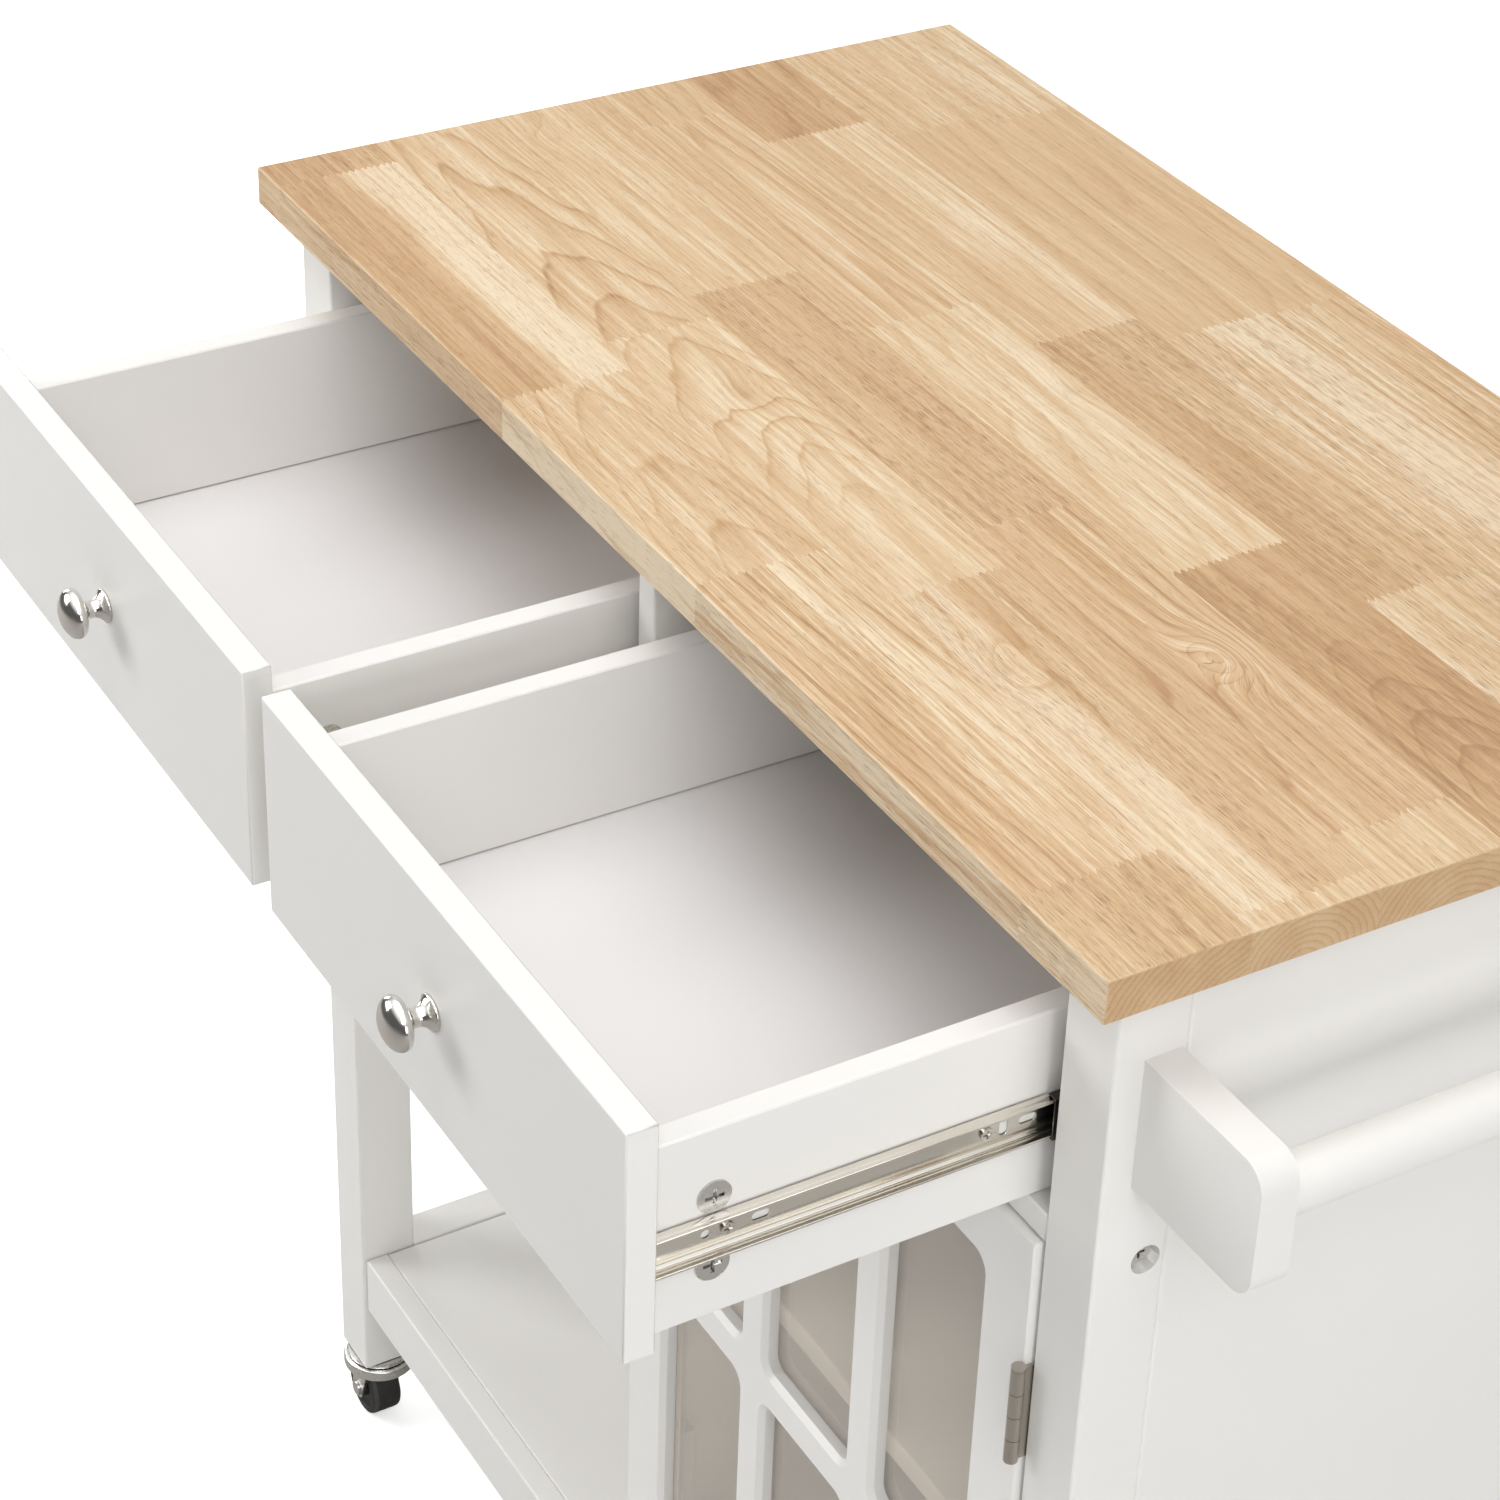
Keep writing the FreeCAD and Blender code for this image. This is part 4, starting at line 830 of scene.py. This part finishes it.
faceLook = {
    "ior": 1.45,
    "shift": (1.7, 0.31, 0.0),  # moves each block's grain, so that no two match
    "slope": 0.4,               # how the rings lean on their way down through the board
    "knotLong": 0.55,           # knots are drawn out along the block
    "swirlFade": -6500.0,
    "swirlRings": 3.2,
    "swirlBend": 0.012,
    "swirlTone": 0.10,
    "heartFade": -110000.0,
    "wander": {"stretch": (5.0, 24.0, 24.0), "detail": 3.0, "rough": 0.55},
    "ringFade": {"stretch": (3.0, 14.0, 14.0), "detail": 2.0, "range": (0.35, 0.6, 0.35, 1.0)},
    "ringSoft": 0.42,
    "streaks": [
        ({"stretch": (5.0, 75.0, 75.0), "detail": 4.0, "rough": 0.6, "warp": 0.3, "range": (0.3, 0.7)}, 0.32),
        ({"stretch": (8.0, 340.0, 340.0), "detail": 3.0, "rough": 0.6, "range": (0.32, 0.68)}, 0.38),
        ({"stretch": (26.0, 1200.0, 1200.0), "detail": 2.0, "rough": 0.6, "range": (0.3, 0.7)}, 0.30),
    ],
    "pores": {"stretch": (90.0, 2500.0, 2500.0), "detail": 2.0},
    "poreCrowd": {"stretch": (8.0, 50.0, 50.0), "detail": 2.0, "range": (0.35, 0.65, 0.0, 0.10)},
    "poreLeast": 0.04,
    "poreRange": (0.63, 0.69),
    "leanRange": (-0.08, 0.08, -0.5, 0.5),
    "leanWander": 0.5,
    "frontFacingPaler": (-0.9, -0.5, -0.34, 0.0),     # faces turned to the front are made paler
    "blush": {"stretch": (4.0, 22.0, 22.0), "detail": 3.0},
    "blushMiddle": 0.3,
    "blushGain": 0.45,
    "contrast": 0.88,
    # the painted highlight and wear tone along the eased arrises, and how much of it shows
    "edge": (0.74, 0.60, 0.41),
    "highlightAndWear": 0.45,
    "relief": 0.00005,
    "reliefStrength": 0.6,
}

endLook = {
    "ior": 1.45,
    "shift": (0.0, 0.37, 0.21),
    "rings": 290.0,             # per metre
    "ringSoft": 0.6,
    "ringAmount": 0.42,
    "wander": {"stretch": (1.0, 40.0, 40.0), "detail": 3.0},
    "wanderRings": 2.2,
    "broad": {"stretch": (1.0, 60.0, 60.0), "detail": 3.0},
    "broadShare": 0.6,
    "grit": {"stretch": (1.0, 1500.0, 1500.0), "detail": 2.0},
    "gritShare": 0.4,
    "pores": {"stretch": (1.0, 1900.0, 1900.0), "detail": 1.0, "range": (0.64, 0.74, 0.0, 0.55)},
    "toneShare": 0.35,
    "toneBase": 0.36,
    "contrast": 0.9,
    # the painted highlight and wear tone along the eased arrises, and how much of it shows
    "edge": (0.78, 0.58, 0.36),
    "highlightAndWear": 0.35,
    "relief": 0.00004,
    "reliefStrength": 0.6,
}


def staveVector(tree, name):
    return addNode(tree, "Attribute", out="Vector", attribute_name=name)


def ringSaw(tree, field, soft):
    # each ring darkens slowly, ends in a thin dark line and starts pale again
    saw = calc(tree, "FRACT", field)
    rise = ranged(tree, saw, *ringLook["rise"], how="SMOOTHSTEP")
    line = ranged(tree, saw, *ringLook["line"], how="SMOOTHSTEP")
    drawn = plus(tree, times(tree, rise, soft), times(tree, line, 1.0 - soft))
    return times(tree, drawn, ranged(tree, saw, *ringLook["drop"], 1.0, 0.0))


def finishWood(tree, shader, at, look, masks):
    tint = useGroup(tree, woodTint, {**masks, "Contrast": look["contrast"]})
    color = withEdgeHighlightAndWear(tree, at, tint["Color"], look)
    feed(tree, shader, color, tint["Roughness"], tint["Height"], look["relief"], look["reliefStrength"])


def rubberwoodFace():
    look = faceLook
    material, tree, shader = newMaterial("rubberwoodFace", {"IOR": look["ior"]})
    at = place(tree)
    tone, rings, spot, knot, skin, drift = [
        split(tree, staveVector(tree, name))
        for name in ("staveTone", "staveRings", "stavePlace", "staveKnot", "staveSkin", "staveDrift")]
    parts = split(tree, at)
    own = moved(tree, at, scaled(tree, look["shift"], spot["X"]))
    wander = minus(tree, layered(tree, own, look["wander"]), 0.5)
    # how near the block's knot or swirl is
    awayX = times(tree, minus(tree, parts["X"], knot["X"]), look["knotLong"])
    awayY = minus(tree, parts["Y"], knot["Y"])
    reach = plus(tree, times(tree, awayX, awayX), times(tree, awayY, awayY))
    swirl = times(tree, calc(tree, "EXPONENT", times(tree, reach, look["swirlFade"])), knot["Z"])
    heart = times(tree, calc(tree, "EXPONENT", times(tree, reach, look["heartFade"])), knot["Z"])
    focus = calc(tree, "EXPONENT", times(tree, times(tree, reach, drift["Y"]), -1.0))
    # the rings that the saw has cut through
    sunk = minus(tree, parts["Z"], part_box("tabletop")[1].z)
    across = plus(tree, minus(tree, parts["Y"], spot["Y"]), times(tree, sunk, look["slope"]))
    field = times(tree, across, rings["X"])
    field = plus(tree, field, times(tree, times(tree, across, across), rings["Y"]))
    field = plus(tree, field, times(tree, parts["X"], rings["Z"]))
    field = plus(tree, field, times(tree, wander, drift["X"]))
    field = plus(tree, field, times(tree, swirl, look["swirlRings"]))
    strength = times(tree, times(tree, layered(tree, own, look["ringFade"]), skin["X"]), focus)
    ring = times(tree, ringSaw(tree, field, look["ringSoft"]), strength)
    # streaks of three widths, bent round the swirl
    bend = addNode(tree, "CombineXYZ", {"Y": times(tree, swirl, look["swirlBend"])})
    bent = moved(tree, own, bend)
    broad, middle, fine = [times(tree, layered(tree, bent, layer), share) for layer, share in look["streaks"]]
    streak = plus(tree, plus(tree, broad, middle), fine)
    streak = plus(tree, times(tree, minus(tree, streak, 0.5), drift["Z"]), 0.5)
    # pores as short dashes, crowded in patches, and the knot's dark middle
    crowd = times(tree, plus(tree, layered(tree, own, look["poreCrowd"]), look["poreLeast"]), skin["Y"])
    dashes = ranged(tree, plus(tree, layered(tree, bent, look["pores"]), crowd), *look["poreRange"])
    pore = calc(tree, "MAXIMUM", dashes, calc(tree, "MINIMUM", heart, 1.0))
    # the block's tone, darker towards one side, and paler on faces turned to the front
    side = calc(tree, "DIVIDE", minus(tree, skin["Z"], parts["Y"]), spot["Z"])
    side = plus(tree, side, times(tree, wander, look["leanWander"]))
    leaning = times(tree, ranged(tree, side, *look["leanRange"]), tone["Y"])
    level = plus(tree, plus(tree, tone["X"], leaning), times(tree, swirl, look["swirlTone"]))
    facing = split(tree, addNode(tree, "TexCoord", out="Normal"))["Y"]
    level = plus(tree, level, ranged(tree, facing, *look["frontFacingPaler"]))
    ruddy = times(tree, minus(tree, tone["Z"], look["blushMiddle"]), look["blushGain"])
    blush = plus(tree, layered(tree, own, look["blush"]), ruddy)
    finishWood(tree, shader, at, look, {"Tone": level, "Ring": ring, "Streak": streak, "Pore": pore,
                                        "Blush": blush})
    return material


def rubberwoodEnd():
    look = endLook
    material, tree, shader = newMaterial("rubberwoodEnd", {"IOR": look["ior"]})
    at = place(tree)
    tone, spot = [split(tree, staveVector(tree, name)) for name in ("staveTone", "stavePlace")]
    own = moved(tree, at, scaled(tree, look["shift"], spot["X"]))
    # rings round the heart of the log, as the saw shows them across the end
    away = addNode(tree, "VectorMath", {0: at, 1: staveVector(tree, "staveHeart")}, operation="SUBTRACT")
    flat = stretched(tree, away, (0, 1, 1))
    reach = addNode(tree, "VectorMath", {0: flat}, out="Value", operation="LENGTH")
    wander = minus(tree, layered(tree, own, look["wander"]), 0.5)
    field = plus(tree, times(tree, reach, look["rings"]), times(tree, wander, look["wanderRings"]))
    ring = times(tree, ringSaw(tree, field, look["ringSoft"]), look["ringAmount"])
    broad = layered(tree, own, look["broad"])
    grit = layered(tree, own, look["grit"])
    streak = plus(tree, times(tree, broad, look["broadShare"]), times(tree, grit, look["gritShare"]))
    level = plus(tree, times(tree, tone["X"], look["toneShare"]), look["toneBase"])
    finishWood(tree, shader, at, look, {"Tone": level, "Ring": ring, "Streak": streak,
                                        "Pore": layered(tree, own, look["pores"]), "Blush": broad})
    return material


materials["rubberwoodFace"] = rubberwoodFace()
materials["rubberwoodEnd"] = rubberwoodEnd()
buildTop()
print("laminated top built")
dressBoards()
dressGlass()
dressFittings()
for node in ("door_knob", "left_drawer_knob", "right_drawer_knob"):
    buildKnob(node)
for corner in ("front_left", "front_right", "rear_left", "rear_right"):
    buildWheel(corner + "_caster_wheel")
print("knobs and wheels turned")


# Studio

studioLook = {
    "world": 0.16,
    "backdrop": 1.05,           # how bright the camera sees the room
    "mirror": (0.12, 1.6),      # how bright polished metal sees it, low down and high up
    "mirrorRise": (0.30, 0.85),
    "floorSize": 6.0,
    "floor": (0.90, 0.90, 0.895),
    "floorRough": 0.85,
    "floorCloud": 0.01,
    "floorCloudScale": 0.8,
    "floorInMetal": (0.42, 0.405, 0.38),
    "floorGlow": 0.55,
    "lights": [
        ("overhead", (-0.2, -0.2, 3.0), (-0.05, 0.0, 0.6), (2.4, 2.0), 38),
        ("rightBox", (2.9, -0.05, 1.15), (0.3, 0.0, 0.8), (1.5, 1.2), 23),
        ("frontLeft", (-2.3, -2.3, 1.9), (0.0, -0.1, 0.6), (1.6, 1.6), 52),
        ("leftBox", (-3.0, 0.0, 1.1), (0.0, 0.0, 0.6), (1.6, 1.4), 27),
        ("backBox", (-0.8, 2.9, 1.2), (0.0, 0.2, 0.6), (1.8, 1.4), 15),
        ("rightHigh", (2.0, -0.9, 2.6), (0.1, 0.0, 0.8), (1.6, 1.4), 27),
    ],
}


def buildFloor():
    look = studioLook
    bm = bmesh.new()
    bmesh.ops.create_grid(bm, x_segments=8, y_segments=8, size=look["floorSize"])
    mesh = finishMesh(bm, "studioFloor", boardLook["crease"])
    floor = bpy.data.objects.new("studioFloor", mesh)
    scene.collection.objects.link(floor)
    material, tree, shader = newMaterial("paleFloor", {"Roughness": look["floorRough"],
                                                       "Emission Strength": look["floorGlow"]})
    tinted = clouded(tree, place(tree), {"tint": look["floor"], "cloud": look["floorCloud"],
                                         "cloudScale": look["floorCloudScale"]})
    rays = tree.nodes.new("ShaderNodeLightPath").outputs
    tree.links.new(rays["Is Camera Ray"], shader.inputs["Emission Color"])
    dim = mixed(tree, rays["Is Glossy Ray"], tinted, opaque(look["floorInMetal"]))
    tree.links.new(dim, shader.inputs["Base Color"])
    mesh.materials.append(material)


def buildLights():
    for name, spot, aim, size, power in studioLook["lights"]:
        light = bpy.data.lights.new(name, "AREA")
        light.shape = "RECTANGLE"
        light.size, light.size_y = size
        light.energy = power
        lamp = bpy.data.objects.new(name, light)
        scene.collection.objects.link(lamp)
        lamp.location = spot
        lamp.rotation_mode = "QUATERNION"
        lamp.rotation_quaternion = (Vector(aim) - Vector(spot)).to_track_quat("-Z", "Y")


def buildRoom():
    # the camera sees white, polished metal sees a room that is dark below, and the rest is lit softly
    look = studioLook
    world = bpy.data.worlds.new("studioWorld")
    scene.world = world
    world.use_nodes = True
    tree = world.node_tree
    rays = tree.nodes.new("ShaderNodeLightPath").outputs
    upwards = split(tree, addNode(tree, "TexCoord", out="Generated"))["Z"]
    mirror = ranged(tree, upwards, *look["mirrorRise"], *look["mirror"])
    mirrored = times(tree, rays["Is Glossy Ray"], minus(tree, mirror, look["world"]))
    backdrop = times(tree, rays["Is Camera Ray"], look["backdrop"] - look["world"])
    glow = plus(tree, plus(tree, mirrored, backdrop), look["world"])
    fillInputs(tree, tree.nodes["Background"], {"Color": (1.0, 1.0, 1.0, 1.0), "Strength": glow})
    scene.view_settings.view_transform = "Standard"     # keeps the floor and the room white


cameraLook = {
    "spot": (1.32937, -0.86110, 1.83374),
    "right": (0.506778, 0.861326, 0.036065),
    "down": (0.481844, -0.248317, -0.840340),
    "forward": (-0.714841, 0.443244, -0.540862),
    "sensor": 36.0,
    "lens": 91.737,
    "shift": (-0.03, -0.06),
    "clip": (0.05, 60.0),
}


def buildCamera():
    look = cameraLook
    data = bpy.data.cameras.new("photoCamera")
    data.sensor_width = look["sensor"]
    data.lens = look["lens"]
    data.shift_x, data.shift_y = look["shift"]
    data.clip_start, data.clip_end = look["clip"]
    camera = bpy.data.objects.new("photoCamera", data)
    scene.collection.objects.link(camera)
    up = [-value for value in look["down"]]
    back = [-value for value in look["forward"]]
    turn = Matrix((look["right"], up, back)).transposed()
    camera.matrix_world = Matrix.Translation(look["spot"]) @ turn.to_4x4()
    scene.camera = camera


buildFloor()
buildLights()
buildRoom()
buildCamera()
print("studio and camera set")
